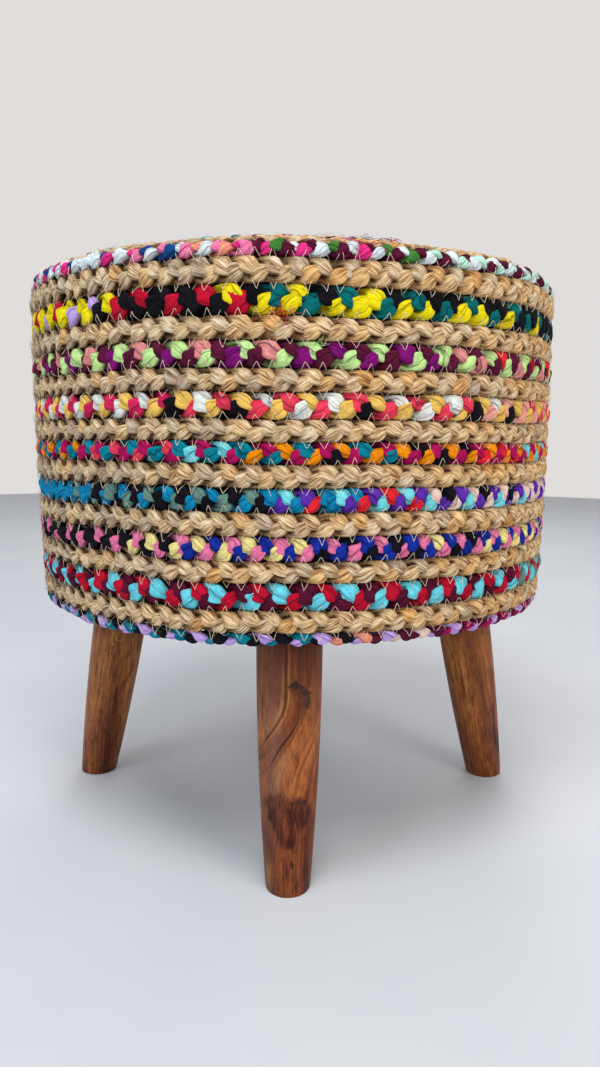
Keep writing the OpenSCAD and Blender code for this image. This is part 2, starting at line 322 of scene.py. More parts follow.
    def end(self, kind: str, shader: Sock) -> None:
        """Links a shader to a new output node of the given type."""
        self.node(kind, None, {"Surface": shader}, None)


@dataclass(frozen=True)
class Jute:
    """Raw jute: dull straw fibres that run along the strand, with painted shade between the strands."""

    fibre_mm: float = 0.5
    streak_mm: float = 11.0
    bump_m: float = 0.0014

    # The straw's colours: the darkest is partly the fibres' own brown and partly painted shade between the
    # fibres, the lightest a painted highlight on them
    STRAW_AND_FIBRE_SHADE = {0.36: (84, 54, 32), 0.43: (160, 124, 84), 0.50: (218, 184, 142), 0.60: (255, 238, 205)}
    # Random tones of the lobes, which also carry a painted cool light on the left of the drum and a painted
    # warm light on its right
    TONES_AND_SIDE_LIGHT = {0.10: (218, 221, 232), 0.38: (250, 250, 250), 0.65: (255, 248, 230), 0.95: (252, 220, 170)}
    DEPTH_SHADE = {0.0: (104, 74, 48), 0.5: (215, 200, 180), 1.0: (255, 255, 255)}
    RIM_SHADE = (110, 78, 50)
    CREVICE_SHADOW = (84, 54, 32)

    def make(self) -> Material:
        """Returns the material.

        Fine and coarse noise, drawn out along the strand, picks the straw's colour, whose darkest end is
        partly the fibres' own brown and partly painted shade between the fibres, and whose lightest end is a
        painted highlight on them. The lobe's own tone with a painted cool light on the drum's left and a
        painted warm light on its right, painted shade low in the plait, painted shade at the strand's rim and
        painted shadow in the crevices beside it are then laid over that.
        """
        n = Nodes.material("jute")
        along = 1 / (self.streak_mm * MM)
        across = 1 / (self.fibre_mm * MM)
        fine = n.noise(n.moved(n.uv(), (along, across, 1)), 3.0, 0.65)
        coarse = n.noise(n.moved(n.uv(), (along * 0.8, across * 0.3, 1), (3.1, 7.7, 0)), 2.0, 0.55)
        fibres = fine * 0.6 + coarse * 0.4
        toned = n.glaze(n.ramp(fibres, self.STRAW_AND_FIBRE_SHADE), n.ramp(n.attribute("tone"), self.TONES_AND_SIDE_LIGHT))
        lift = n.grade(n.attribute("lift"), 0.32, 0.95)
        # Painted shade: the lower a place lies in the plait, the darker
        shaded = n.glaze(toned, n.ramp(lift, self.DEPTH_SHADE))
        # Painted shade at the sides of each strand
        rim_shaded = n.glaze(shaded, self.RIM_SHADE, n.grade(n.attribute("rim"), 0.86, 1.0, 0.0, 0.6))
        return n.surface(
            # Painted shadow in the crevice beside a strand that crosses over
            Base_Color=n.glaze(rim_shaded, self.CREVICE_SHADOW, n.grade(n.attribute("deep"), 0.1, 0.8, 0.0, 0.9)),
            Roughness=n.grade(fine, 0.3, 0.7, 0.7, 0.95),
            Specular_IOR_Level=0.3,
            Normal=n.bump(fibres, self.bump_m),
        )


@dataclass(frozen=True)
class Cotton:
    """Strips of cotton jersey, rolled lengthwise: matte, creased along the strand."""

    crease_mm: float = 2.9
    crease_stretch: float = 4.5
    knit_mm: float = 0.5
    brightest: float = 0.95
    boost: float = 1.24
    knit_bump_m: float = 0.0002
    fold_bump_m: float = 0.0013

    GREYED = (150, 146, 150)
    HEM_SHADE = {0.0: (255, 255, 255), 0.42: (236, 233, 236), 0.49: (150, 140, 146), 0.54: (255, 255, 255)}
    CREASE_SHADE = (74, 64, 70)
    DEPTH_SHADE = {0.0: (96, 88, 92), 0.5: (236, 232, 234), 1.0: (255, 255, 255)}
    RIM_SHADE = (96, 90, 94)
    CREVICE_SHADOW = (74, 66, 70)

    def make(self) -> Material:
        """Returns the material.

        The strip's own colour is lightened on its pleats, then painted shade along the turned hem and in the
        creases, painted shade low in the plait and at its rim, and painted shadow in the crevices beside it
        are laid over that.
        """
        n = Nodes.material("cotton")
        along = 1 / (self.crease_mm * self.crease_stretch * MM)
        across = 1 / (self.crease_mm * MM)
        folds = n.noise(n.moved(n.uv(), (along, across, 1)), 2.5, 0.55)
        ridge = n.grade(abs(folds - 0.5), 0.0, 0.07)
        pleats = n.noise(n.moved(n.uv(), (along * 2.6, across, 1), (5.5, 1.3, 0)), 2.0, 0.55)
        stray = (n.noise(n.moved(n.uv(), (along * 1.5, 1, 1), (2.5, 0, 0)), 1.5) - 0.5) * 0.9
        hem = n.attribute("hem") + stray
        crease = n.attribute("crease") - stray
        knit = n.noise(n.moved(n.uv(), (1 / (self.knit_mm * MM),) * 3), 1.0)
        greying = n.grade(n.attribute("tone"), 0.1, 0.9, 0.14, 0.0)
        toned = n.glaze(self._dyed(n, pleats), self.GREYED, greying)
        # Painted shade along the turned hem: a dark line at the fold, a little darker on its one side
        hem_shaded = n.glaze(toned, n.ramp(n.grade(hem, -0.5, 0.5), self.HEM_SHADE))
        # Painted shade in the creases and in the narrow valleys of the folds
        line = n.grade(abs(crease), 0.0, 0.08, 0.34, 0.0) + n.grade(ridge, 0.0, 0.4, 0.2, 0.0)
        creased = n.glaze(hem_shaded, self.CREASE_SHADE, line)
        # Painted shade: the lower a place lies in the plait, the darker
        shaded = n.glaze(creased, n.ramp(n.grade(n.attribute("lift"), 0.25, 0.88), self.DEPTH_SHADE))
        # Painted shade at the sides of each strand
        rim_shaded = n.glaze(shaded, self.RIM_SHADE, n.grade(n.attribute("rim"), 0.9, 1.0, 0.0, 0.4))
        relief = ridge * 0.3 + pleats * 0.35
        relief = relief + n.grade(abs(crease), 0.0, 0.16) * 0.35 + n.grade(hem, -0.06, 0.1) * 0.55
        return n.surface(
            # Painted shadow in the crevice beside a strand that crosses over
            Base_Color=n.glaze(rim_shaded, self.CREVICE_SHADOW, n.grade(n.attribute("deep"), 0.2, 0.9, 0.0, 0.7)),
            Roughness=0.85,
            Specular_IOR_Level=0.1,
            Normal=n.bump(knit, self.knit_bump_m, 0.4, n.bump(relief, self.fold_bump_m)),
        )

    def _dyed(self, n: Nodes, pleats: Sock) -> Sock:
        """Returns the strip's colour, lightened where its pleats rise but never so far that it loses its hue.

        The colour is scaled by the boost times the pleats' lightening, or by what takes its strongest part to
        the brightest value, whichever is less.
        """
        tint = n.attribute("tint", "Color")
        lighter_by = n.grade(pleats, 0.52, 0.72, 1.0, 1.22)
        red, green, blue = n.split(tint)
        room = red.at_least(green).at_least(blue) ** -1.0 * self.brightest
        return n.vector("SCALE", _0=tint, _3=room.at_most(lighter_by * self.boost))


@dataclass(frozen=True)
class Plain:
    """A finish of one colour with a grain, for threads, felt, board, steel and the like."""

    name: str
    colour: Srgb
    roughness: float = 0.8
    metallic: float = 0.0
    grain_mm: Triple = (1.0, 1.0, 1.0)
    contrast: float = 0.25
    bump_mm: float = 0.1
    gloss_range: float = 0.08

    def make(self) -> Material:
        """Returns the material."""
        n = Nodes.material(self.name)
        scale = tuple(1 / (size * MM) for size in self.grain_mm)
        grain = n.noise(n.moved(n.place(), scale), 3.0, 0.6)
        base = np.array(linear(self.colour))
        dark = tuple(float(x) for x in base * (1 - self.contrast))
        light = tuple(float(x) for x in np.minimum(base * (1 + self.contrast), 1))
        gloss = self.roughness - self.gloss_range, self.roughness + self.gloss_range
        return n.surface(
            Base_Color=n.blend(grain, [(0.3, dark), (0.7, light)]),
            Roughness=n.grade(grain, 0.3, 0.7, *gloss),
            Metallic=self.metallic,
            Normal=n.bump(grain, self.bump_mm * MM, 0.5),
        )


class Finish(Enum):
    """The plain finishes of the thread, the sheets, the padding, the boards and the fixings."""

    THREAD = Plain("sewing_thread", (240, 222, 194), 0.75, 0.0, (0.5, 0.5, 0.5), 0.08, 0.02)
    CALICO = Plain("hem_calico", (226, 216, 194), 0.9, 0.0, (0.7, 0.7, 0.7), 0.12, 0.1)
    DUST_CLOTH = Plain("dust_cloth_black", (34, 33, 34), 0.9, 0.0, (0.6, 0.6, 0.6), 0.3, 0.12)
    # The felt and the foam are dark partly as recycled fibre and partly as painted shade in the gaps between
    # the plaits
    FELT = Plain("wadding_felt", (84, 74, 64), 0.95, 0.0, (1.5, 1.5, 1.5), 0.35, 0.5)
    FOAM = Plain("pad_foam", (112, 94, 70), 0.9, 0.0, (2.2, 2.2, 2.2), 0.4, 0.4)
    ZINC = Plain("zinc_plated", (176, 180, 184), 0.34, 1.0, (6.0, 6.0, 6.0), 0.1, 0.02)
    SCREW = Plain("yellow_zinc_screw", (190, 170, 110), 0.36, 1.0, (2.0, 2.0, 2.0), 0.12, 0.02)
    STAPLE = Plain("staple_wire", (196, 198, 200), 0.3, 1.0, (1.0, 1.0, 1.0), 0.08, 0.01)
    PLYWOOD = Plain("birch_plywood", (206, 172, 124), 0.6, 0.0, (60.0, 3.0, 1.2), 0.14, 0.06)
    PINE = Plain("sawn_pine", (222, 188, 132), 0.7, 0.0, (3.0, 3.0, 60.0), 0.16, 0.15)
    HARDBOARD = Plain("brown_hardboard", (122, 84, 52), 0.7, 0.0, (1.0, 1.0, 1.0), 0.2, 0.08)

    def make(self) -> Material:
        """Returns the finish's material."""
        return self.value.make()


class Mark(Enum):
    """What a mark in the wood is: a knot or crack, a stain, or a pale streak."""

    INK = "ink"
    STAIN = "stain"
    PALE = "pale"


@dataclass(frozen=True)
class Knot:
    """A mark in a leg's wood: its place and reach in metres, in the leg's own axes.

    The figure bends round it by the pull. Along the grain, its place is measured across the swept grain.
    """

    at: Triple
    reach: Triple
    pull: float = 0.0
    kind: Mark = Mark.STAIN
    along_grain: bool = False


@dataclass(frozen=True)
class LegPick:
    """What sets one leg's wood apart.

    The grain sweeps sideways by the sweep, in metres. The gain scales the wood's colour. Dull says how
    far its one side is greyed, and wave how wavy the figure is. The slices say how much the figure
    changes with x and with y, as the way a plank is cut does.
    """

    name: str
    sweep: float
    gain: Triple
    dull: float
    wave: float
    slices: tuple[float, float]
    knots: tuple[Knot, ...]


@dataclass(frozen=True)
class LegWood:
    """Oiled hardwood with a wavy figure along the leg, that flows round its knots.

    Its axes are the leg's own: x to the right across it, y into it from the front, z up along it, in
    metres from the foot's middle. The shift is the place in the noise that this leg is cut from.
    """

    pick: LegPick
    turn: float
    lean: float
    foot_r: float
    shift: float
    sweep_from: float = 0.07
    sweep_to: float = 0.125
    grey_side: tuple[float, float] = (0.002, -0.013)

    FIGURE = {
        0.30: (90, 42, 20), 0.42: (126, 66, 31), 0.50: (151, 84, 42),
        0.59: (173, 104, 55), 0.72: (197, 134, 80),
    }
    BLOTCHES = {0.34: (172, 158, 146), 0.48: (232, 228, 222), 0.60: (255, 255, 255)}
    VEIN = (112, 64, 42)
    PORE = (92, 50, 32)
    SIDE_GREY = (122, 84, 72)
    DRUM_SHADOW = (132, 90, 76)
    FOOT = (184, 150, 142)
    STAIN = (136, 74, 62)
    PALE = (190, 136, 82)
    INK = {0.42: (24, 14, 12), 0.7: (74, 46, 34)}

    def make(self) -> Material:
        """Returns the material: the figure, a greyed side, a painted shadow of the drum at the top and a
        darker foot laid over it, and then the knots.
        """
        n = Nodes.material(f"oiled_wood_{self.pick.name}")
        faced = n.moved(n.place(), (1, 1, 1), (0, self.foot_r * MM, 0), (0, 0, -self.turn))
        leg = n.moved(faced, (1, 1, 1), (0, 0, 0), (self.lean, 0, 0))
        span, marks = self._flow(n, leg)
        z = n.split(leg)[2]
        wide = n.noise(n.joined(span * 90.0, self.shift, z * 5.0), 2.0, 0.55)
        grain = n.noise(n.joined(span * 480.0, 4.0, z * 11.0), 2.5, 0.6)
        veins = n.noise(n.joined(span * 230.0, 9.0, z * 3.0), 1.5, 0.5)
        pores = n.noise(n.moved(leg, (1300, 1300, 60)), 2.0, 0.6)
        mottle = n.noise(n.moved(leg, (210, 210, 72), (0, 1.4, self.shift)), 4.0, 0.68)
        broad_noise = n.noise(n.moved(leg, (45, 45, 9), (2.2, self.shift, 0)), 2.0)
        toned = n.vector("MULTIPLY", _0=n.ramp(wide * 0.55 + grain * 0.45, self.FIGURE), _1=self.pick.gain)
        mottled = n.glaze(toned, n.ramp(mottle, self.BLOTCHES))
        veined = n.glaze(mottled, self.VEIN, n.grade(abs(veins - 0.5), 0.0, 0.02, 0.6, 0.0))
        pored = n.glaze(veined, self.PORE, n.grade(pores, 0.54, 0.68, 0.0, 0.6))
        colour = self._side_top_and_foot(n, leg, pored, broad_noise)
        if self.pick.knots:
            colour = self._marked(n, colour, marks, (wide, grain, pores, mottle, broad_noise))
        return n.surface(
            Base_Color=colour,
            Roughness=n.grade(grain, 0.3, 0.7, 0.4, 0.55),
            Specular_IOR_Level=0.22,
            Normal=n.bump(pores, 0.00012, 0.4, n.bump(grain, 0.0002, 0.3)),
        )

    def _flow(self, n: Nodes, leg: Sock) -> tuple[Sock, dict[Mark, object]]:
        """Works out the distance across the grain, and where the knots are.

        The distance is x, less a sweep that comes in smoothly between two heights up the leg, plus slow
        sways and the pull of each knot. A knot that isn't along the grain has a torn outline.

        Args:
            n: The material's tree.
            leg: Places in the leg's axes.

        Returns:
            The distance across the grain, and how strongly each kind of mark shows.
        """
        x, y, z = n.split(leg)
        rise = n.node("ShaderNodeMapRange", {"interpolation_type": "SMOOTHSTEP"}, {
            0: z, 1: self.sweep_from, 2: self.sweep_to, 3: 0.0, 4: self.pick.sweep,
        })
        across = x - rise
        ragged = n.noise(n.moved(leg, (150, 150, 90), (self.shift, 0, 0)), 5.0, 0.7).other("Color")
        shifted = n.vector("MULTIPLY_ADD", _0=ragged, _1=(0.009, 0.0, 0.012), _2=leg)
        torn_x, _, torn_z = n.split(n.moved(shifted, (1, 1, 1), (-0.0045, 0, -0.006)))
        sway = n.noise(n.moved(leg, (11, 11, 8), (self.shift, 0, 0)), 1.5, 0.5) - 0.5
        ripple = n.noise(n.moved(leg, (42, 42, 17), (0, self.shift, 0)), 2.0, 0.55) - 0.5
        bend = sway * (0.012 * self.pick.wave) + ripple * 0.0035
        marks = {kind: 0.0 for kind in Mark}
        for knot in self.pick.knots:
            place = (across + ripple * 0.006, y, z) if knot.along_grain else (torn_x, y, torn_z)
            bend = bend + self._bell(n, (x, y, z), knot) * knot.pull
            marks[knot.kind] = self._bell(n, place, knot) + marks[knot.kind]
        with_x, with_y = self.pick.slices
        return across * with_x + y * with_y + bend, marks

    def _side_top_and_foot(self, n: Nodes, leg: Sock, colour: Sock, broad_noise: Sock) -> Sock:
        """Returns the wood's colour greyed on one side, with a painted shadow of the drum over its top, and
        darker towards its foot.
        """
        x, _, z = n.split(leg)
        sided = n.grade(x, *self.grey_side)
        # Greyer towards one side of the leg, broken up by noise
        greyed = n.mix(n.grade(broad_noise, 0.38, 0.58, 0.2, 0.75) * (sided * self.pick.dull), colour, self.SIDE_GREY)
        # Painted shadow of the drum: darker over the top of the leg
        drum_shadowed = n.glaze(greyed, self.DRUM_SHADOW, n.grade(z + (broad_noise - 0.5) * 0.05, 0.11, 0.165))
        return n.glaze(drum_shadowed, self.FOOT, n.grade(z + (broad_noise - 0.5) * 0.04, 0.065, 0.03, 0.0, 0.6))

    def _marked(self, n: Nodes, colour: Sock, marks: dict[Mark, object], noises: tuple[Sock, ...]) -> Sock:
        """Lays the stains, the pale streaks and the ink-dark knots over the wood's colour.

        Args:
            n: The material's tree.
            colour: The wood's colour.
            marks: How strongly each kind of mark shows.
            noises: The wide figure, the grain, the pores, the mottle and the broad noise, which break marks
                up.

        Returns:
            The marked colour.
        """
        wide, grain, pores, mottle, broad_noise = noises
        swirl = n.grade(grain + (broad_noise - 0.5) + (mottle - 0.5), 0.32, 0.68, 1.0, 0.55)
        stained = n.grade(marks[Mark.STAIN] + (wide - 0.5) * 0.3, 0.22, 0.5) * swirl
        colour = n.glaze(colour, self.STAIN, stained)
        lighter_by = n.grade(mottle + (grain - 0.5), 0.34, 0.6, 0.25, 1.0)
        colour = n.mix(n.grade(marks[Mark.PALE], 0.2, 1.0, 0.0, 0.5) * lighter_by, colour, self.PALE)
        inked = n.grade(marks[Mark.INK] + (pores - 0.5) * 0.9, 0.38, 0.62, 0.0, 0.9)
        return n.mix(inked, colour, n.ramp(pores, self.INK))

    @staticmethod
    def _bell(n: Nodes, place: tuple[Sock, Sock, Sock], knot: Knot) -> Sock:
        """Returns a bell round a knot: e to the power of minus the squared distance in reaches."""
        total = None
        for value, middle, reach in zip(place, knot.at, knot.reach):
            share = (value - middle) / reach
            part = share * share
            total = part if total is None else total + part
        return n.node("ShaderNodeMath", {"operation": "EXPONENT"}, {0: total * -1.0})


def write_mesh(
    name: str, points: Array, faces: Array, uv: Array | None = None,
    values: dict[str, Array] | None = None, tint: Array | None = None,
) -> Object:
    """Puts points and faces into a new mesh object at the origin.

    Args:
        name: The object's name.
        points: Corners in millimetres, one row each.
        faces: Quads or triangles as rows of corner numbers, outwards by the right-hand rule.
        uv: Coordinates in millimetres for each face's corners, in the faces' order.
        values: Numbers at the corners, by attribute name.
        tint: Linear colours, one for each face corner, for the attribute "tint".

    Returns:
        The object, smooth shaded.
    """
    mesh = bpy.data.meshes.new(name)
    sides = faces.shape[1]
    mesh.vertices.add(len(points))
    mesh.vertices.foreach_set("co", (points * MM).astype(np.float32).ravel())
    mesh.loops.add(faces.size)
    mesh.loops.foreach_set("vertex_index", faces.astype(np.int32).ravel())
    mesh.polygons.add(len(faces))
    mesh.polygons.foreach_set("loop_start", np.arange(0, faces.size, sides, dtype=np.int32))
    mesh.polygons.foreach_set("use_smooth", np.ones(len(faces), dtype=bool))
    if uv is not None:
        layer = mesh.uv_layers.new(name="UVMap")
        layer.data.foreach_set("uv", (uv * MM).astype(np.float32).ravel())
    for key, data in (values or {}).items():
        attribute = mesh.attributes.new(key, "FLOAT", "POINT")
        attribute.data.foreach_set("value", data.astype(np.float32).ravel())
    if tint is not None:
        attribute = mesh.color_attributes.new("tint", "FLOAT_COLOR", "CORNER")
        rgba = np.ones((len(tint), 4), np.float32)
        rgba[:, :3] = tint
        attribute.data.foreach_set("color", rgba.ravel())
    mesh.update(calc_edges=True)
    return in_scene(name, mesh)


def in_scene(name: str, data: bpy.types.ID) -> Object:
    """Returns a new object that holds the data, linked to the scene."""
    made = bpy.data.objects.new(name, data)
    bpy.context.scene.collection.objects.link(made)
    return made


def grid_faces(rows: int, columns: int, wrap_rows: bool, wrap_columns: bool) -> Array:
    """Lists the quads of a grid of corners.

    Args:
        rows: Corners along the first parameter.
        columns: Corners along the second parameter.
        wrap_rows: Whether the last row joins the first.
        wrap_columns: Whether the last column joins the first.

    Returns:
        One row of four corner numbers for each quad, which turn from the second parameter to the first.
    """
    i = np.arange(rows if wrap_rows else rows - 1)[:, None]
    j = np.arange(columns if wrap_columns else columns - 1)[None, :]
    k = (i + 1) % rows
    m = (j + 1) % columns
    quads = [i * columns + j, i * columns + m, k * columns + m, k * columns + j]
    return np.stack([np.broadcast_to(q, (i.shape[0], j.shape[1])) for q in quads], axis=-1).reshape(-1, 4)


def halved(quads: Array) -> Array:
    """Returns each quad as two triangles, all the first halves before all the second."""
    return np.concatenate([quads[:, [0, 1, 2]], quads[:, [0, 2, 3]]])


def end_fans(around: int, rows: int, low: int, high: int) -> Array:
    """Lists the triangles that close both ends of a tube.

    Args:
        around: Corners in each row of the tube.
        rows: How many rows it has.
        low: The number of the corner in the middle of its first end.
        high: The number of the corner in the middle of its last end.

    Returns:
        One row of three corner numbers for each triangle.
    """
    j = np.arange(around)
    k = (j + 1) % around
    far = (rows - 1) * around
    first = np.stack([np.full(around, low), k, j], -1)
    last = np.stack([np.full(around, high), far + j, far + k], -1)
    return np.concatenate([first, last])


def round_axis(r: Array, spin: Array, z: Array) -> Array:
    """Returns points at radii, angles round the drum's axis and heights."""
    return np.stack([r * np.sin(spin), -r * np.cos(spin), z], -1)


def unit(vectors: Array) -> Array:
    """Returns vectors scaled to a length of one."""
    return vectors / np.maximum(np.linalg.norm(vectors, axis=-1, keepdims=True), 1e-12)


def closed_tube(name: str, points: Array, normals: Array, radius: float, sides: int) -> Object:
    """Makes a thin tube along a closed path.

    Args:
        name: The object's name.
        points: The path, in millimetres.
        normals: Directions away from the surface it lies on.
        radius: Its radius.
        sides: How many sides its section has.

    Returns:
        The object: corner (i, j) = point i + radius * (cos j * side i + sin j * up i).
    """
    ahead = unit(np.roll(points, -1, 0) - np.roll(points, 1, 0))
    side = unit(np.cross(normals, ahead))
    up = np.cross(ahead, side)
    spin = TURN * np.arange(sides) / sides
    ring = np.cos(spin)[None, :, None] * side[:, None] + np.sin(spin)[None, :, None] * up[:, None]
    corners = points[:, None] + radius * ring
    return write_mesh(name, corners.reshape(-1, 3), grid_faces(len(points), sides, True, True))


# How far apart in the fibres' pattern the tubes of one piece are taken from, along and across them
TUBE_SPACING = 53.0
TUBE_SPREAD = 3.7
# The tone of a loose fibre, as a share of the range of tones
MIDDLE_TONE = 0.45
# How thin a tube is at its end, as a share of its start
TUBE_END = 0.45


def open_tubes(
    name: str, paths: Array, normals: Array, radius: Array | float,
    sides: int = 3, flat: float = 1.0, tint: Tint | None = None,
) -> Object:
    """Makes many tubes with closed, tapered ends.

    Args:
        name: The object's name.
        paths: Points in millimetres, as tubes by points by three.
        normals: Directions away from the surface, in the same shape.
        radius: One radius, or one for each point.
        sides: How many sides a section has.
        flat: How thick a section is as a share of its width.
        tint: The colour of all of them, where the material takes one.

    Returns:
        The object, with UVs along and around each tube and the attributes of a strand. A corner is its
        point + radius * (cos j * side + flat * sin j * up).
    """
    count, length = paths.shape[:2]
    ahead = unit(np.gradient(paths, axis=1))
    side = unit(np.cross(normals, ahead))
    up = np.cross(ahead, side)
    spin = TURN * np.arange(sides) / sides
    size = np.broadcast_to(np.asarray(radius, float), (count, length)).copy()
    if np.ndim(radius) == 0:
        size *= np.linspace(1.0, TUBE_END, length)[None, :]
    ring = np.cos(spin)[:, None] * side[:, :, None] + flat * np.sin(spin)[:, None] * up[:, :, None]
    corners = (paths[:, :, None] + size[..., None, None] * ring).reshape(count, -1, 3)
    poles = np.stack([paths[:, 0], paths[:, -1]], 1)
    points = np.concatenate([corners, poles], 1)
    starts = (np.arange(count) * points.shape[1])[:, None, None]
    quads = (grid_faces(length, sides, False, True)[None] + starts).reshape(-1, 4)
    caps = (end_fans(sides, length, length * sides, length * sides + 1)[None] + starts).reshape(-1, 3)
    steps = np.linalg.norm(np.diff(paths, axis=1), axis=2)
    run = np.concatenate([np.zeros((count, 1)), np.cumsum(steps, 1)], 1)
    run = run + TUBE_SPACING * np.arange(count)[:, None]
    return write_tubes(name, points.reshape(-1, 3), np.concatenate([halved(quads), caps]), run, sides, tint)


def write_tubes(
    name: str, points: Array, faces: Array, run: Array, sides: int, tint: Tint | None
) -> Object:
    """Puts closed tubes into a mesh object, with the attributes that a strand has.

    Args:
        name: The object's name.
        points: Corners in millimetres, tube by tube, with the two ends' middles last in each.
        faces: Triangles as rows of corner numbers.
        run: The length along each tube, as tubes by points.
        sides: How many sides a section has.
        tint: The colour of all of them, or None.

    Returns:
        The object.
    """
    per_tube = run.shape[1] * sides + 2
    number = faces % per_tube
    tube = faces // per_tube
    row = np.clip(number // sides, 0, run.shape[1] - 1)
    uv = np.stack([run[tube, row], (number % sides) * 1.0 + tube * TUBE_SPREAD], -1)
    none = np.zeros(len(points))
    # lift 1, rim 0 and deep 0 keep the painted shade of the plaits off the loose fibres and threads
    values = {
        "lift": none + 1, "rim": none, "deep": none,
        "tone": none + MIDDLE_TONE, "hem": none + 1, "crease": none + 1,
    }
    tints = None if tint is None else np.tile(tint.linear(), (faces.size, 1))
    return write_mesh(name, points, faces, uv.reshape(-1, 2), values, tints)


def dress(piece: Object, material: Material) -> None:
    """Gives a new piece its material, and lets it ride with the pouf."""
    piece.data.materials.append(material)
    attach(piece, BODY)
    LOG.info("%s: %d faces", piece.name, len(piece.data.polygons))


def wobble(angle: Array, seed: int, waves: tuple[int, ...], size: float) -> Array:
    """Returns a smooth random function of the angle that closes on itself.

    Args:
        angle: Angles round the drum.
        seed: The seed of its phases.
        waves: How many times each of its sines goes round.
        size: About how far it strays from zero.

    Returns:
        A sum of sines, each with its own random phase and strength.
    """
    draw = np.random.default_rng(seed)
    phases = draw.uniform(0, TURN, len(waves))
    sizes = draw.uniform(0.5, 1.0, len(waves))
    total = sum(s * np.sin(w * angle + p) for w, s, p in zip(waves, sizes, phases))
    return size * total / sqrt(len(waves))


@dataclass(frozen=True)
class Seam:
    """A line of stitching round the drum: its radius, height and the elevation of the outward normal."""

    r: float
    z: float
    lean: float


@dataclass
class Profile:
    """The cover's outline in a plane through the axis, as the solids have it."""

    drum_r: float = 200.0
    base_z: float = 175.6
    draw_in: float = 3.5
    belly: float = 150.0
    edge_slope: float = 26.0
    crown_power: float = 7.0
    jute_w: float = 13.5
    cloth_w: float = 15.0
    bulge: float = 2.0
    shoulder_r: float = 10.2
    roll_r: float = 7.0
    coil_r: float = 21.0
    cloth_plump: tuple[float, ...] = (1.9, 0.1, 0.2, -2.4, -0.9, -0.4, 1.7)
    jute_plump: tuple[float, ...] = (1.2, -0.2, -0.4, -0.7, 0.2, 0.6, -0.6, 0.1)
    top_rings: int = 12
    side: list[Seam] = field(init=False)
    top: list[Seam] = field(init=False)
    roll_end: Seam = field(init=False)

    OUT_WAVES = ((0.5, 2, 60, 0.5), (0.4, 5, -42, 2.0), (0.25, 11, 25, 4.0))
    RISE_WAVES = ((0.45, 3, 75, 1.0), (0.35, 7, -48, 0.4), (0.25, 13, 28, 2.2))
    FADE_R = 150

    def __post_init__(self) -> None:
        """Works out the seams of the side, the top and the bottom edge."""
        widths = [
            self.jute_w + self.jute_plump[i // 2] if i % 2 == 0 else self.cloth_w + self.cloth_plump[i // 2]
            for i in range(len(self.cloth_plump) + len(self.jute_plump))
        ]
        heights = self.base_z + sum(widths) - np.concatenate([[0], np.cumsum(widths)])
        self.side = [self._side_seam(float(z)) for z in heights]
        edge = self._arc_end(self.side[0], self.shoulder_r, 90 - self.edge_slope)
        self.roll_end = self._arc_end(self.side[-1], self.roll_r, -90)
        shares = np.cumsum([0] + [self.jute_w, self.cloth_w] * (self.top_rings // 2))
        radii = edge.r - (edge.r - self.coil_r) * shares / shares[-1]
        self.top = [self._top_seam(edge, float(r)) for r in radii]

    @classmethod
    def waver(cls, angle: Array, r: Array, z: Array) -> tuple[Array, Array]:
        """Returns how far hand sewing strays outwards and upwards at places on the cover.

        Each is a sum of size * sin(turns * angle + along / run + phase), where along is the distance
        along the outline, z - r. Both fade towards the middle of the top.
        """
        along = z - r
        out, rise = (
            sum(size * np.sin(turns * angle + along / run + phase) for size, turns, run, phase in waves)
            for waves in (cls.OUT_WAVES, cls.RISE_WAVES)
        )
        fade = np.minimum(1, r / cls.FADE_R)
        return out * fade, rise * fade

    def _side_seam(self, z: float) -> Seam:
        """Returns the seam at a height: the radius falls with the square of the distance from the belly."""
        off = (z - self.base_z - self.belly) / self.belly
        r = self.drum_r - self.bulge - self.draw_in * off**2
        return Seam(r, z, np.degrees(atan(2 * self.draw_in * off / self.belly)))

    def _arc_end(self, seam: Seam, radius: float, lean: float) -> Seam:
        """Returns the end of an arc of seams that starts at a seam and turns to another lean."""
        r = seam.r + radius * (cos(radians(lean)) - cos(radians(seam.lean)))
        z = seam.z + radius * (sin(radians(lean)) - sin(radians(seam.lean)))
        return Seam(r, z, lean)

    def _top_seam(self, edge: Seam, r: float) -> Seam:
        """Returns the seam at a radius of the top, whose height falls with a high power of the radius."""
        slope = tan(radians(self.edge_slope))
        crown = edge.r * slope / self.crown_power
        share = r / edge.r
        z = edge.z + crown * (1 - share**self.crown_power)
        return Seam(r, z, 90 - np.degrees(atan(slope * share ** (self.crown_power - 1))))


class Stuff(Enum):
    """What a plait is made of."""

    JUTE = "jute_braid"
    COTTON = "cotton_braid"


@dataclass(frozen=True)
class Weave:
    """How a plait of three strands is worked, in millimetres.

    A strand swings from edge to edge as sway * (sin(swing) - sin(3 * swing) / 10), where the swing is the
    phase + haste * cos(2 * phase), so that it crosses steeply where it shows. It dives as minus dive *
    sin(2 * phase - late), so that it comes over the others from either edge, and narrows by the taper
    where it lies under them. Its section is a flattened ellipse with lengthwise flutes, a fold along its
    face and crumples.
    """

    period: float
    sway: float
    dive: float
    half_width: float
    half_thick: float
    centre: float
    flat: float
    taper: float
    late: float
    flutes: int
    flute_depth: float
    fold: float
    crumple: float
    crumple_run: int
    timing: float
    plump: float
    side_light_tint: float
    haste: float


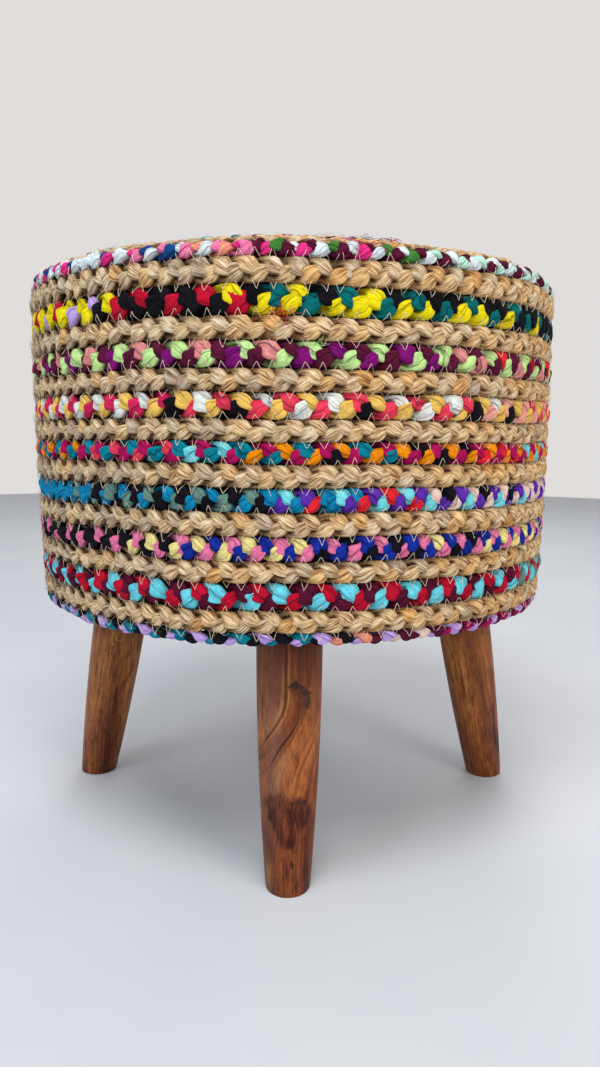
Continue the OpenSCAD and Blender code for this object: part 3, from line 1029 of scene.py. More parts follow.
# The least turn between two seams, in radians, so that the arc between them has a radius
STRAIGHT = 1e-4
WEAVES = {
    Stuff.JUTE: Weave(
        period=43.2, sway=4.1, dive=1.9, half_width=5.1, half_thick=1.8, centre=-1.35, flat=0.34, taper=0.54,
        late=0.4, flutes=7, flute_depth=0.09, fold=0.0, crumple=0.22, crumple_run=6, timing=0.14, plump=0.10,
        side_light_tint=0.2, haste=0.1,
    ),
    Stuff.COTTON: Weave(
        period=38.6, sway=4.2, dive=2.0, half_width=5.3, half_thick=1.95, centre=-1.6, flat=0.34, taper=0.42,
        late=0.4, flutes=3, flute_depth=0.03, fold=0.7, crumple=0.14, crumple_run=4, timing=0.20, plump=0.16,
        side_light_tint=0.0, haste=0.06,
    ),
}
Tints = Tint | tuple[Tint, Tint]
Strip = tuple[tuple[Tints, float], ...]


@dataclass(frozen=True)
class Pace:
    """Where the lobes of a plait lie: their number of periods, one lobe's angle, and a drift of both."""

    periods: int = 0
    start: float = 0.0
    drift: float = 0.0
    drift_at: float = 0.0


class Uneven(IntEnum):
    """Rows of a plait's random table, each for something that differs from lobe to lobe."""

    TIMING = 0
    SWAY = 1
    HEIGHT = 2
    WIDTH = 3
    THICKNESS = 4
    HEM = 5
    HEM_SIDE = 6


@dataclass(frozen=True)
class Course:
    """A strand's phase, middle line and size of section at each angle, in radians and millimetres.

    `even` is the phase as the weave alone has it. `wide` and `thick` are the half width and the half
    thickness. `spread` is the half width measured straight across the plait, which grows with the
    strand's slant.
    """

    even: Array
    phase: Array
    across: Array
    height: Array
    wide: Array
    thick: Array
    spread: Array


@dataclass(frozen=True)
class Section:
    """A strand's section: `spin` and `side` for each corner, the rest as angles by corners.

    `spin` is a corner's angle in the section, and `side` runs from 1 at its one side to -1 at the other.
    `lateral` and `vertical` are distances beside and over the middle line, in millimetres. `hem` and
    `crease` are distances from the strip's turned hem and from its crease, on the measure of `side`.
    """

    spin: Array
    side: Array
    lateral: Array
    vertical: Array
    hem: Array
    crease: Array


@dataclass
class Plait:
    """One closed plait between two seams.

    Places on it are an angle round the drum, a distance across from its middle towards the seam
    `upper`, and a height over the surface through both seams.
    """

    name: str
    stuff: Stuff
    profile: Profile
    lower: Seam
    upper: Seam
    seed: int
    pace: Pace = Pace()
    strips: tuple[Strip, ...] = ()
    sink: float = 0.0
    steps_per_period: int = 20
    around: int = 16
    crevice: float = 1.1
    press: float = 0.52
    sway_spread: float = 0.07
    height_spread: float = 0.22
    swell_on_top: float = 0.06
    roll: float = 0.18
    face_share: float = 1.3
    low: float = -5.0
    tall: float = 7.0

    TONE_AHEAD = 4 * pi
    CREASE_AHEAD = 6 * pi
    RUN_PER_STRAND = 977.0
    RUN_PER_SEED = 131.0

    def __post_init__(self) -> None:
        """Works out the arc between the seams, and the random unevenness of each lobe."""
        self.weave = WEAVES[self.stuff]
        turn = radians(self.upper.lean - self.lower.lean)
        self.turn = turn if abs(turn) > STRAIGHT else STRAIGHT
        chord = sqrt((self.upper.r - self.lower.r) ** 2 + (self.upper.z - self.lower.z) ** 2)
        self.arc_r = chord / 2 / sin(self.turn / 2)
        self.width = self.arc_r * self.turn
        self.mid_lean = radians(self.lower.lean) + self.turn / 2
        reach = self.arc_r * cos(self.turn / 2)
        self.centre_r = (self.lower.r + self.upper.r) / 2 - reach * cos(self.mid_lean)
        self.centre_z = (self.lower.z + self.upper.z) / 2 - reach * sin(self.mid_lean)
        self.girth = TURN * (self.centre_r + self.arc_r * cos(self.mid_lean))
        draw = np.random.default_rng(self.seed)
        loose = draw.uniform(0.94, 1.06)
        self.periods = self.pace.periods or max(2, round(self.girth / self.weave.period * loose))
        self.start = self.pace.start or draw.uniform(-pi, pi)
        self.lobes = draw.normal(0, 1, (len(Uneven), 3, 2 * self.periods))
        self.fit = self.width / (self.profile.jute_w if self.stuff is Stuff.JUTE else self.profile.cloth_w)

    def place(self, angle: Array, across: Array, height: Array) -> Array:
        """Returns points in space for places on the plait, bent over the arc between its seams."""
        lean = self.mid_lean + across / self.width * self.turn
        r = self.centre_r + (self.arc_r + height) * np.cos(lean)
        z = self.centre_z + (self.arc_r + height) * np.sin(lean)
        out, rise = self.profile.waver(angle, r, z)
        return round_axis(r + out, angle, z + rise)

    def normal(self, angle: Array, across: Array) -> Array:
        """Returns the outward normals at places on the plait."""
        lean = self.mid_lean + across / self.width * self.turn
        return round_axis(np.cos(lean), angle, np.sin(lean) + 0 * angle)

    def squeeze(self, across: Array) -> Array:
        """Returns distances across as the sewing presses them in, so that the plait's edges are straight.

        The distance is divided by the sixth-power mean of 1 and its share of the plait's half width.
        """
        return across / (1 + np.abs(across / self.width / self.press) ** 6) ** (1 / 6)

    def loosen(self, across: Array) -> Array:
        """Returns the distances that would be pressed in to these."""
        share = np.minimum(np.abs(across / self.width / self.press), 0.97)
        return across / (1 - share**6) ** (1 / 6)

    def phase(self, strand: int, angle: Array) -> Array:
        """Returns a strand's phase: even round the drum but for the drift, and a third behind the last's."""
        pace = self.pace
        drift = np.sin(2 * (angle - pace.drift_at)) - sin(2 * (self.start - pace.drift_at))
        return self.periods * (angle - self.start) + pace.drift / 2 * drift + 0.75 * pi - TURN * strand / 3

    def lobe(self, row: Uneven, strand: int, phase: Array) -> Array:
        """Returns a random value that is steady over each lobe and eases where the strand is hidden."""
        table = self.lobes[row, strand]
        at = phase / pi + 0.25
        first = np.floor(at).astype(int)
        ease = np.clip((at - first) * 2 - 0.5, 0, 1)
        ease = ease * ease * (3 - 2 * ease)
        count = len(table)
        return table[first % count] * (1 - ease) + table[(first + 1) % count] * ease

    def course(self, strand: int, angle: Array) -> Course:
        """Works out a strand's middle line and section along the angle.

        Args:
            strand: Its number, 0 to 2.
            angle: Angles round the drum.

        Returns:
            Its course there.
        """
        w = self.weave
        even = self.phase(strand, angle)
        phase = even + w.timing * self.lobe(Uneven.TIMING, strand, even)
        top = -np.sin(2 * phase - w.late)
        swing = phase + w.haste * np.cos(2 * phase)
        sway = self.fit * w.sway * (1 + self.sway_spread * self.lobe(Uneven.SWAY, strand, even))
        steep = (np.cos(swing) - 0.3 * np.cos(3 * swing)) * (1 - 2 * w.haste * np.sin(2 * phase))
        slant = sway * steep * TURN / w.period
        uneven_height = self.height_spread * self.lobe(Uneven.HEIGHT, strand, even)
        taper = 1 - w.taper * (0.5 + 0.5 * np.cos(2 * phase - w.late - 0.3)) ** 1.5
        fuller = 1 + self.swell_on_top * top
        wide = self.fit * w.half_width * taper * (fuller + w.plump * self.lobe(Uneven.WIDTH, strand, even))
        return Course(
            even=even,
            phase=phase,
            across=sway * (np.sin(swing) - 0.1 * np.sin(3 * swing)),
            height=w.centre - self.sink + w.dive * top + uneven_height,
            wide=wide,
            thick=w.half_thick * (fuller + w.plump * self.lobe(Uneven.THICKNESS, strand, even)),
            spread=wide * np.sqrt(1 + slant**2),
        )

    def surface(self, angle: Array, across: Array) -> Array:
        """Returns the height of the plait's outer face: the highest of the three flattened strands."""
        best = np.full(np.shape(angle), self.weave.centre - 1.0)
        far_below = -99.0
        free = self.loosen(across)
        for strand in range(3):
            path = self.course(strand, angle)
            off = (free - path.across) / (path.spread * 1.05)
            rise = path.thick * np.clip(1 - off**2, 0, 1) ** (self.weave.flat / 2)
            best = np.maximum(best, np.where(np.abs(off) < 1, path.height + rise, far_below))
        return best

    def shade(self, strand: int, angle: Array, across: Array, height: Array) -> Array:
        """Works out how deep places on a strand lie in the crevice beside a strand that crosses over it, for
        the painted shadow there.

        Args:
            strand: The strand that the places are on.
            angle: Their angles.
            across: Their distances across.
            height: Their heights.

        Returns:
            1 under or against a higher strand, falling to 0 at the crevice's width from its edge.
        """
        deepest = np.zeros(np.shape(height))
        for other in ((strand + 1) % 3, (strand + 2) % 3):
            path = self.course(other, angle)
            gap = (np.abs(across - path.across) - path.spread) * path.wide / path.spread
            over = np.clip((path.height + 0.4 * path.thick - height) / 1.5, 0, 1)
            deepest = np.maximum(deepest, over * np.clip(1 - gap / self.crevice, 0, 1))
        return deepest

    def build(self) -> Object:
        """Returns the plait as one object of three closed strands."""
        steps = self.periods * self.steps_per_period
        angle = TURN * np.arange(steps) / steps - pi
        parts = [self._strand(strand, angle) for strand in range(3)]
        grid = grid_faces(steps, self.around, True, True)
        faces = np.concatenate([grid + steps * self.around * strand for strand in range(3)])
        values = {key: np.concatenate([part[key] for part in parts]) for key in parts[0]}
        points, uv, tint = values.pop("points"), values.pop("uv"), values.pop("tint", None)
        return write_mesh(self.name.replace("_braid", "_plait"), points, faces, uv, values, tint)

    def _crumples(self, seed: int, steps: int) -> Array:
        """Returns smooth random dents over a strand's grid, longer along it than around it."""
        dents = np.random.default_rng(seed).normal(0, 1, (steps, self.around))
        for _ in range(self.weave.crumple_run):
            dents = (np.roll(dents, 1, 0) + dents + np.roll(dents, -1, 0)) / 3
        dents = (np.roll(dents, 1, 1) + 2 * dents + np.roll(dents, -1, 1)) / 4
        return dents / dents.std()

    def _section(self, strand: int, angle: Array, path: Course) -> Section:
        """Works out the section round a strand's middle line.

        Its own angle is denser over the outer face. It has lengthwise flutes and crumples, a step where
        the strip's hem is turned, and it rolls towards the plait's edges.
        """
        w = self.weave
        share = np.linspace(-1, 1, self.around, endpoint=False)
        spin = QUARTER + pi * np.sign(share) * np.abs(share) ** self.face_share
        side, rise = np.cos(spin), np.sign(np.sin(spin)) * np.abs(np.sin(spin)) ** w.flat
        drift = wobble(angle, self.seed * 7 + strand, (5, 9, 14, 23, 31), 1.8)
        flutes = np.cos(w.flutes * spin[None, :] + drift[:, None] + 0.5 * path.phase[:, None])
        swell = 1 + w.flute_depth * flutes
        swell = swell + w.crumple / 3 * self._crumples(self.seed * 11 + strand, len(angle))
        x = path.wide[:, None] * side[None, :] * (1 + (swell - 1) * 0.6)
        y = path.thick[:, None] * rise[None, :] * swell
        hem = 0.55 * np.tanh(1.3 * self.lobe(Uneven.HEM, strand, path.even))[:, None]
        way = np.tanh(4 * self.lobe(Uneven.HEM_SIDE, strand, path.even))[:, None]
        step = 0.5 + 0.5 * np.tanh((side[None, :] - hem) * way / 0.14)
        crease = 0.8 * np.tanh(self.lobe(Uneven.SWAY, strand, path.even + self.CREASE_AHEAD))[:, None]
        y = y + w.fold * (step - 0.5) * np.clip(3 * np.sin(spin), 0, 1)[None, :]
        roll = self.roll * path.across / (self.fit * w.sway)
        c, s = np.cos(roll)[:, None], np.sin(roll)[:, None]
        return Section(
            spin=spin,
            side=side,
            lateral=x * c + y * s,
            vertical=y * c - x * s,
            hem=(side[None, :] - hem) * way,
            crease=side[None, :] - crease,
        )

    def _strand(self, strand: int, angle: Array) -> dict[str, Array]:
        """Sweeps the section along a strand's path: corner (i, j) is the section's j at the angle i.

        It is set back along the plait by lateral * slope and lies lateral * sqrt(1 - slope squared)
        across, so that the section stays square to the strand.
        """
        steps = len(angle)
        path = self.course(strand, angle)
        middle = self.place(angle, path.across, path.height)
        cut = self._section(strand, angle, path)
        run = np.linalg.norm(np.roll(middle, -1, 0) - middle, axis=1)
        ahead, behind = np.roll(path.across, -1), np.roll(path.across, 1)
        slope = ((ahead - behind) / (run + np.roll(run, 1)))[:, None]
        reach = self.centre_r + self.arc_r * cos(self.mid_lean)
        at = angle[:, None] - cut.lateral * slope / reach
        across = path.across[:, None] + cut.lateral * np.sqrt(1 - slope**2)
        height = path.height[:, None] + cut.vertical
        tone = 0.5 + 0.2 * self.lobe(Uneven.THICKNESS, strand, path.even + self.TONE_AHEAD)
        # For jute, the sine of the angle paints a cool light on the left of the drum and a warm light on its
        # right, over the tone that differs at random from lobe to lobe
        tone = tone + self.weave.side_light_tint * np.sin(angle)
        made = {
            "points": self.place(at, self.squeeze(across), height).reshape(-1, 3),
            "uv": self._uv(strand, run, cut.spin, float((path.wide + path.thick).mean()) / 2),
            # lift, rim and deep place the painted shade: low in the plait, at a strand's sides, and in the
            # crevice beside a higher strand
            "lift": np.clip((height - self.low) / self.tall, 0, 1).ravel(),
            "tone": (np.clip(tone, 0, 1)[:, None] * np.ones((1, self.around))).ravel(),
            "rim": np.broadcast_to(np.abs(cut.side), (steps, self.around)).ravel(),
            "deep": self.shade(strand, at, across, height).ravel(),
            "hem": cut.hem.ravel(),
            "crease": cut.crease.ravel(),
        }
        if self.strips:
            made["tint"] = np.repeat(np.repeat(self._tints(strand, angle), self.around, axis=0), 4, axis=0)
        return made

    def _uv(self, strand: int, run: Array, spin: Array, radius: float) -> Array:
        """Works out where each face's corners lie in the pattern of the strand's fibres.

        Args:
            strand: The strand's number.
            run: The length of each step along it.
            spin: The section's angles.
            radius: The section's mean radius.

        Returns:
            Millimetres along and around the strand, one row for each corner of each face.
        """
        along = np.concatenate([[0], np.cumsum(run)])
        along = along + self.RUN_PER_STRAND * strand + self.RUN_PER_SEED * self.seed
        turns = np.append(spin, spin[0] + TURN) * radius
        i = np.repeat(np.arange(len(run)), self.around)
        j = np.tile(np.arange(self.around), len(run))
        corners = ((i, j), (i, j + 1), (i + 1, j + 1), (i + 1, j))
        return np.stack([np.stack([along[a], turns[b]], -1) for a, b in corners], 1).reshape(-1, 2)

    def _tints(self, strand: int, angle: Array) -> Array:
        """Returns the strip's linear colour at each angle, the same all over each lobe.

        A run's first colour shows in the upper row and its second in the lower row, because a strip
        turns over at each edge. Beyond a quarter turn from the front the runs come back in mirror image.
        """
        phase = self.phase(strand, angle)
        number = np.floor(phase / pi + 0.75).astype(int)
        centre = (number - 0.25) * pi
        whole = TURN * self.periods
        turns = np.floor((centre - phase[0]) / whole)
        at = np.interp(centre - turns * whole, phase, angle)
        at = np.where(np.abs(at) > QUARTER, np.sign(at) * pi - at, at)
        runs = self.strips[strand]
        pairs = [run[0] if isinstance(run[0], tuple) else (run[0], run[0]) for run in runs]
        colours = np.array([[tint.linear() for tint in pair] for pair in pairs])
        ends = np.array([run[1] for run in runs[:-1]])
        return colours[np.searchsorted(ends, at), (number + 1) % 2]


# Short names for the table of strips: the colours, and the end of a plait's last run
T = Tint
LAST = pi
SIDE_STRIPS: tuple[tuple[Pace, tuple[Strip, ...]], ...] = (
    (Pace(38, 0.0041), (
        ((T.ICE, -0.62), (T.HOT_PINK, -0.42), (T.ICE, -0.22), (T.HOT_PINK, -0.04), (T.ICE, LAST)),
        (((T.NAVY, T.ICE), -0.5), (T.NAVY, -0.28), (T.SALMON, -0.12), (T.MAROON, LAST)),
        (
            (T.HOT_PINK, -0.75), (T.ICE, -0.52), (T.PINK, -0.1), ((T.GREEN, T.HOT_PINK), 0.3),
            (T.GREEN, 0.42), (T.MINT, LAST),
        ),
    )),
    (Pace(31, 0.1654), (
        (((T.CRIMSON, T.LILAC), -0.65), (T.LILAC, -0.57), (T.CRIMSON, -0.13), (T.DARK_TEAL, LAST)),
        ((T.LEMON, -0.5), (T.BLACK, -0.22), (T.LEMON, 0.28), ((T.BLACK, T.LEMON), 0.95), (T.BLACK, LAST)),
        ((T.LEMON, -0.65), (T.BLACK, -0.06), ((T.BLACK, T.LEMON), 0.8), (T.BLACK, LAST)),
    )),
    (Pace(32, 0.0676), (
        ((T.LIME, LAST),),
        (
            ((T.DUSTY_PINK, T.PURPLE), -0.03), (T.PURPLE, 0.47), (T.DUSTY_PINK, 0.66),
            ((T.RED, T.DUSTY_PINK), LAST),
        ),
        ((T.PLUM, LAST),),
    )),
    (Pace(33, 0.1898), (
        ((T.ROSE, -0.35), (T.CORAL, 0.62), (T.PEACH, 0.86), (T.CORAL, LAST)),
        ((T.SOFT_YELLOW, LAST),),
        (
            (T.PALE_GREY, -0.38), (T.BLACK, -0.32), (T.PALE_GREY, -0.2), (T.BLACK, -0.12),
            (T.PALE_GREY, 0.18), (T.BLACK, 0.27), (T.PALE_GREY, 0.54), (T.BLACK, 0.62), (T.PALE_GREY, 0.71),
            (T.BLACK, 0.8), (T.PEACH, LAST),
        ),
    )),
    (Pace(34, 0.1605, 2.0, 0.4), (
        ((T.ORANGE, -0.72), (T.CORAL, -0.32), (T.LIGHT_CYAN, -0.14), (T.ORANGE, LAST)),
        (
            (T.TEAL, 0.1), ((T.TEAL, T.BLACK), 0.2), (T.TEAL, 0.38), (T.BLACK, 0.6), (T.RED, 0.86),
            (T.LIGHT_CYAN, LAST),
        ),
        ((T.MAGENTA, LAST),),
    )),
    (Pace(38, 0.2509, 3.0, 0.3), (
        ((T.LAKE_BLUE, 0.16), (T.VIOLET, LAST)),
        (
            (T.BLACK, -1.27), (T.LAKE_BLUE, -0.72), (T.BLACK, -0.05), ((T.LIGHT_CYAN, T.RED), 0.2),
            (T.RED, 0.42), (T.BLUSH, LAST),
        ),
        (
            (T.SAGE, -1.27), (T.LAKE_BLUE, -0.78), (T.SAGE, -0.1), (T.VIOLET, 0.12), (T.LAKE_BLUE, 0.25),
            (T.LIGHT_CYAN, 0.42), ((T.BLACK, T.LIGHT_CYAN), 0.9), (T.BLUSH, LAST),
        ),
    )),
    (Pace(37, 0.0285, 6.0, 0.25), (
        (
            (T.BLACK, -0.6), (T.CREAM, 0.08), (T.BLACK, 0.43), (T.CREAM, 0.52), (T.BLACK, 0.68),
            (T.CREAM, LAST),
        ),
        ((T.BLACK, -0.34), (T.ROYAL_BLUE, LAST)),
        ((T.PINK, LAST),),
    )),
    (Pace(32, -0.0155), (
        ((T.CYAN, LAST),),
        ((T.MAROON, 0.85), (T.SAGE, LAST)),
        ((T.CRIMSON, LAST),),
    )),
    (Pace(32, 0.0432), (
        ((T.TEAL, 0.12), (T.SALMON, 0.27), (T.BLUSH, 0.45), (T.MAGENTA, LAST)),
        ((T.LILAC, 0.4), (T.PLUM, LAST)),
        ((T.BLACK, 0.25), (T.PLUM, 0.4), (T.LILAC, LAST)),
    )),
)
# The top's cotton plaits take the strips of these plaits of the side, from the edge inwards
TOP_STRIPS = tuple(SIDE_STRIPS[i][1] for i in (4, 1, 7, 2, 6, 3))


@dataclass
class Cover:
    """All the plaits of the cover, with the coil in the middle of the top, stitching, fuzz and frays."""

    profile: Profile
    plaits: list[Plait] = field(default_factory=list)
    jute_sink: float = 0.9
    cotton_sink: float = 1.7

    SEEDS = {"side_cloth": 100, "side_jute": 200, "top_jute": 300, "top_cloth": 400}

    def __post_init__(self) -> None:
        """Lists every plait in order along the outline, from the bottom edge up and then inwards."""
        p = self.profile
        last = len(SIDE_STRIPS)
        for i in range(last, 0, -1):
            if i < last:
                self._add("side_jute", i, p.side[2 * i - 1], p.side[2 * i - 2])
            lower = p.roll_end if i == last else p.side[2 * i - 2]
            upper = p.top[0] if i == 1 else p.side[2 * i - 3]
            pace, strips = SIDE_STRIPS[i - 1]
            self._add("side_cloth", i, lower, upper, pace, strips)
        self.plaits.sort(key=lambda plait: plait.lower.z)
        for i in range(1, p.top_rings // 2 + 1):
            self._add("top_jute", i, p.top[2 * i - 2], p.top[2 * i - 1], sink=self.jute_sink)
            strips = TOP_STRIPS[i - 1]
            self._add("top_cloth", i, p.top[2 * i - 1], p.top[2 * i], strips=strips, sink=self.cotton_sink)

    def _add(
        self, kind: str, number: int, lower: Seam, upper: Seam, pace: Pace = Pace(),
        strips: tuple[Strip, ...] = (), sink: float = 0.0,
    ) -> None:
        """Adds a plait.

        Args:
            kind: Where it is and what it is made of, as a key of the seeds.
            number: Its number among its kind.
            lower: The seam at its lower or outer edge.
            upper: The seam at its upper or inner edge.
            pace: Where its lobes lie.
            strips: The colours of its strands, if it is cotton.
            sink: How far it is pressed down into the padding.
        """
        stuff = Stuff.COTTON if strips else Stuff.JUTE
        seed = self.SEEDS[kind] + number
        made = Plait(f"{kind}_braid_{number}", stuff, self.profile, lower, upper, seed, pace, strips, sink)
        self.plaits.append(made)

    def build(self) -> None:
        """Builds every plait as the piece that stands for its ring, and what is sewn to them."""
        jute = Jute().make()
        cotton = Cotton().make()
        for plait in self.plaits:
            made = plait.build()
            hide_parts(plait.name)
            dress(made, jute if plait.stuff is Stuff.JUTE else cotton)
        Coil(self.profile).build(jute)
        Stitching().build(self.plaits)
        Fuzz().build(self.plaits, jute)
        Frays().build(self.plaits, cotton)


@dataclass(frozen=True)
class Stitching:
    """The zigzag seams between neighbouring plaits, one closed thread each, in millimetres.

    Each stitch is a narrow V. It comes out of the jute's edge, lies straight over the groove to its point
    on the cloth and goes back into the jute, where it runs hidden to the next stitch.
    """

    pitch: float = 9.3
    half_open: float = 2.5
    on_cloth: float = 3.5
    on_jute: float = 1.1
    jitter: float = 0.45
    thread_r: float = 0.16
    lift: float = 0.08
    dive: float = 1.6

    ALONG = (-1.25, -1.0, -0.52, -0.06, 0.06, 0.52, 1.0, 1.25)
    UP = (0.0, 0.0, 0.48, 1.0, 1.0, 0.48, 0.0, 0.0)

    def build(self, plaits: list[Plait]) -> None:
        """Builds a thread for each pair of neighbours."""
        thread = Finish.THREAD.make()
        for number, (below, above) in enumerate(zip(plaits[:-1], plaits[1:]), start=1):
            points, normals = self._thread(below, above, number)
            made = closed_tube(f"zigzag_thread_{number}", points, normals, self.thread_r, 3)
            dress(made, thread)

    def _thread(self, below: Plait, above: Plait, seed: int) -> tuple[Array, Array]:
        """Works out one thread's path.

        Args:
            below: The plait under the seam.
            above: The plait over the seam.
            seed: The seed of the seam's unevenness.

        Returns:
            The points of its closed path and the outward normals there.
        """
        draw = np.random.default_rng(seed + 5000)
        radius = below.upper.r
        count = max(6, round(TURN * radius / self.pitch))
        way = 1.0 if above.stuff is Stuff.COTTON else -1.0
        tips = np.arange(count) * self.pitch + draw.normal(0, self.jitter, count)
        tips = tips / (count * self.pitch) * TURN
        open_by = self.half_open * draw.uniform(0.75, 1.2, (count, 1))
        skew = draw.normal(0, self.jitter, (count, 1)) * np.array(self.UP)
        angle = tips[:, None] + (open_by * np.array(self.ALONG) + skew) / radius
        angle = np.mod(angle + pi, TURN) - pi
        rise = self.on_cloth + self.on_jute + draw.normal(0, self.jitter, (count, 1))
        off = way * (rise * np.array(self.UP) - self.on_jute)
        over = off >= 0
        up_across, down_across = -above.width / 2 + off, below.width / 2 + off
        height = np.where(over, above.surface(angle, up_across), below.surface(angle, down_across))
        height = height + self.lift
        for a, b, c in ((1, 2, 3), (4, 5, 6)):
            height[:, b] = np.maximum(height[:, b], (height[:, a] + height[:, c]) / 2)
        height[:, [0, -1]] -= self.dive
        over = over[..., None]
        place = np.where(
            over, above.place(angle, up_across, height), below.place(angle, down_across, height)
        )
        normal = np.where(over, above.normal(angle, up_across), below.normal(angle, down_across))
        return place.reshape(-1, 3), normal.reshape(-1, 3)


@dataclass(frozen=True)
class Fuzz:
    """Loose jute fibres that stand off the plaits, in millimetres.

    More of them stand off the rough side and near the seams. The spreads are in radians: of the way a
    fibre sets off, from the plait's own way round, and of how far it turns over its length.
    """

    spacing: float = 1.9
    length: tuple[float, float] = (4.0, 20.0)
    fibre_r: float = 0.085
    stand: float = 3.6
    points: int = 5
    rough_share: float = 0.45
    rough_side: tuple[float, float] = (-1.2, 0.45)
    seam_share: float = 0.55
    tucked_share: float = 0.6
    heading_spread: float = 0.45
    bend_spread: float = 0.9

    def build(self, plaits: list[Plait], jute: Material) -> None:
        """Builds the fibres of each jute plait as one piece."""
        for plait in plaits:
            if plait.stuff is not Stuff.JUTE:
                continue
            count = round(plait.girth / self.spacing)
            paths, normals = self._paths(plait, count)
            made = open_tubes(plait.name.replace("braid", "fuzz"), paths, normals, self.fibre_r)
            dress(made, jute)

    def _paths(self, plait: Plait, count: int) -> tuple[Array, Array]:
        """Works out where the fibres start, how long they are and how far they stand off."""
        draw = np.random.default_rng(plait.seed + 9000)
        each = (count, 1)
        rough = draw.uniform(0, 1, each) < self.rough_share
        angle = np.where(rough, draw.normal(*self.rough_side, each), draw.uniform(-pi, pi, each))
        edge = np.sign(draw.uniform(-1, 1, each)) * (0.5 - 0.1 * np.abs(draw.normal(0, 1, each)))
        near_seam = draw.uniform(0, 1, each) < self.seam_share
        spread = np.where(near_seam, edge, draw.uniform(-0.45, 0.45, each))
        across = spread * plait.width
        length = self.length[0] + (self.length[1] - self.length[0]) * draw.beta(1.3, 3.0, each)
        heading = draw.normal(0, self.heading_spread, each)
        heading = heading + np.where(draw.uniform(0, 1, each) < 0.5, 0, pi)
        bend = draw.normal(0, self.bend_spread, each)
        loose = draw.beta(1.2, 3.5, each) * self.stand
        back = draw.uniform(0, 1, each) < self.tucked_share
        return loose_paths(plait, angle, across, length, heading, bend, loose, back, self.points)


# How deep in the plait a loose fibre starts, and how high and how far apart its ripples are, in millimetres
ROOT = 0.4
RIPPLE = 0.15
RIPPLE_RUN = 2.5


def loose_paths(
    plait: Plait, angle: Array, across: Array, length: Array, heading: Array, bend: Array,
    loose: Array, back: Array, points: int,
) -> tuple[Array, Array]:
    """Works out paths of loose fibres, each of which leaves a plait along its surface.

    At a share t of its length a path's course is heading + bend * t, and its place is the running sum of
    the course's cosine and sine. It stands off by loose * sin(pi * t) if its end comes back, or else by
    loose * t to the power 1.6, and ripples a little.

    Args:
        plait: The plait.
        angle: Where each starts round the drum, one row each, as all that follows.
        across: Where each starts across the plait.
        length: How long each is.
        heading: The way each sets off, from the plait's own way round, in radians.
        bend: How far each turns over its length.
        loose: How far each stands off.
        back: Whether its end comes back to the plait.
        points: How many points a path has.

    Returns:
        The paths and the outward normals there.
    """
    t = np.linspace(0, 1, points)[None, :]
    course = heading + bend * t
    x = np.cumsum(np.cos(course), 1) / points * length
    y = np.cumsum(np.sin(course), 1) / points * length
    x, y = x - x[:, :1], y - y[:, :1]
    arch = np.where(back, np.sin(pi * t), t**1.6)
    at = angle + x / (plait.girth / TURN)
    height = plait.surface(angle, 0.8 * across) - ROOT + loose * arch
    height = height + RIPPLE * np.sin(length * t / RIPPLE_RUN)
    return plait.place(at, across + y, height), plait.normal(at, across + y)


@dataclass(frozen=True)
class Fray:
    """A tuft of loose threads on a plait, in millimetres, with across as a share of the plait's width."""

    plait: str
    angle: float
    across: float
    tint: Tint
    count: int
    length: float
    stand: float
    looped: bool = False


@dataclass(frozen=True)
class Frays:
    """The frayed ends of strips and threads that show in the seams."""

    thread_r: float = 0.17
    points: int = 14
    tufts: tuple[Fray, ...] = (
        Fray("side_cloth_braid_2", -0.022, -0.47, Tint.RED, 30, 9.0, 1.8),
        Fray("side_cloth_braid_4", -0.100, 0.62, Tint.SOFT_YELLOW, 16, 8.0, 1.6),
        Fray("side_cloth_braid_1", 0.205, 0.2, Tint.HOT_PINK, 34, 12.0, 2.2),
        Fray("top_cloth_braid_1", 0.250, 0.0, Tint.BLACK, 22, 11.0, 4.5),
        Fray("top_cloth_braid_1", 0.345, 0.0, Tint.RED, 18, 9.0, 3.6),
        Fray("side_cloth_braid_3", 0.080, 0.3, Tint.LIME, 16, 7.0, 1.3),
        Fray("side_cloth_braid_6", 0.150, -0.35, Tint.BLACK, 14, 8.0, 1.4),
        Fray("side_cloth_braid_4", -0.330, -0.2, Tint.BLACK, 16, 8.0, 1.3),
        Fray("side_cloth_braid_9", -0.640, -0.30, Tint.SOFT_YELLOW, 2, 9.0, 10.0, True),
        Fray("side_cloth_braid_4", 2.100, 0.4, Tint.SOFT_YELLOW, 14, 8.0, 1.6),
        Fray("side_cloth_braid_6", -2.500, -0.3, Tint.BLACK, 16, 8.0, 1.6),
    )

    def build(self, plaits: list[Plait], cotton: Material) -> None:
        """Builds each tuft as one piece."""
        named = {plait.name: plait for plait in plaits}
        for number, tuft in enumerate(self.tufts, start=1):
            paths, normals = self._paths(named[tuft.plait], tuft, number)
            made = open_tubes(f"loose_threads_{number}", paths, normals, self.thread_r, 4, 1.0, tuft.tint)
            dress(made, cotton)

    def _paths(self, plait: Plait, tuft: Fray, seed: int) -> tuple[Array, Array]:
        """Works out a tuft's threads: they start close together and go all ways, or hang as loops."""
        draw = np.random.default_rng(seed + 700)
        each = (tuft.count, 1)
        spread = 0.12 if tuft.looped else 0.35
        start = draw.normal(0, spread * tuft.length, each) / (plait.girth / TURN)
        across = tuft.across * plait.width + draw.normal(0, 0.1 * tuft.length, each) * (not tuft.looped)
        length = tuft.length * draw.uniform(0.5, 1.2, each)
        heading = draw.uniform(-0.3, 0.3, each) if tuft.looped else draw.uniform(-pi, pi, each)
        bend = draw.normal(0, 0.1 if tuft.looped else 1.6, each)
        loose = tuft.stand * draw.uniform(0.6 if tuft.looped else 0.1, 1.0, each)
        back = np.full(each, True) if tuft.looped else draw.uniform(0, 1, each) < 0.5
        return loose_paths(plait, tuft.angle + start, across, length, heading, bend, loose, back, self.points)


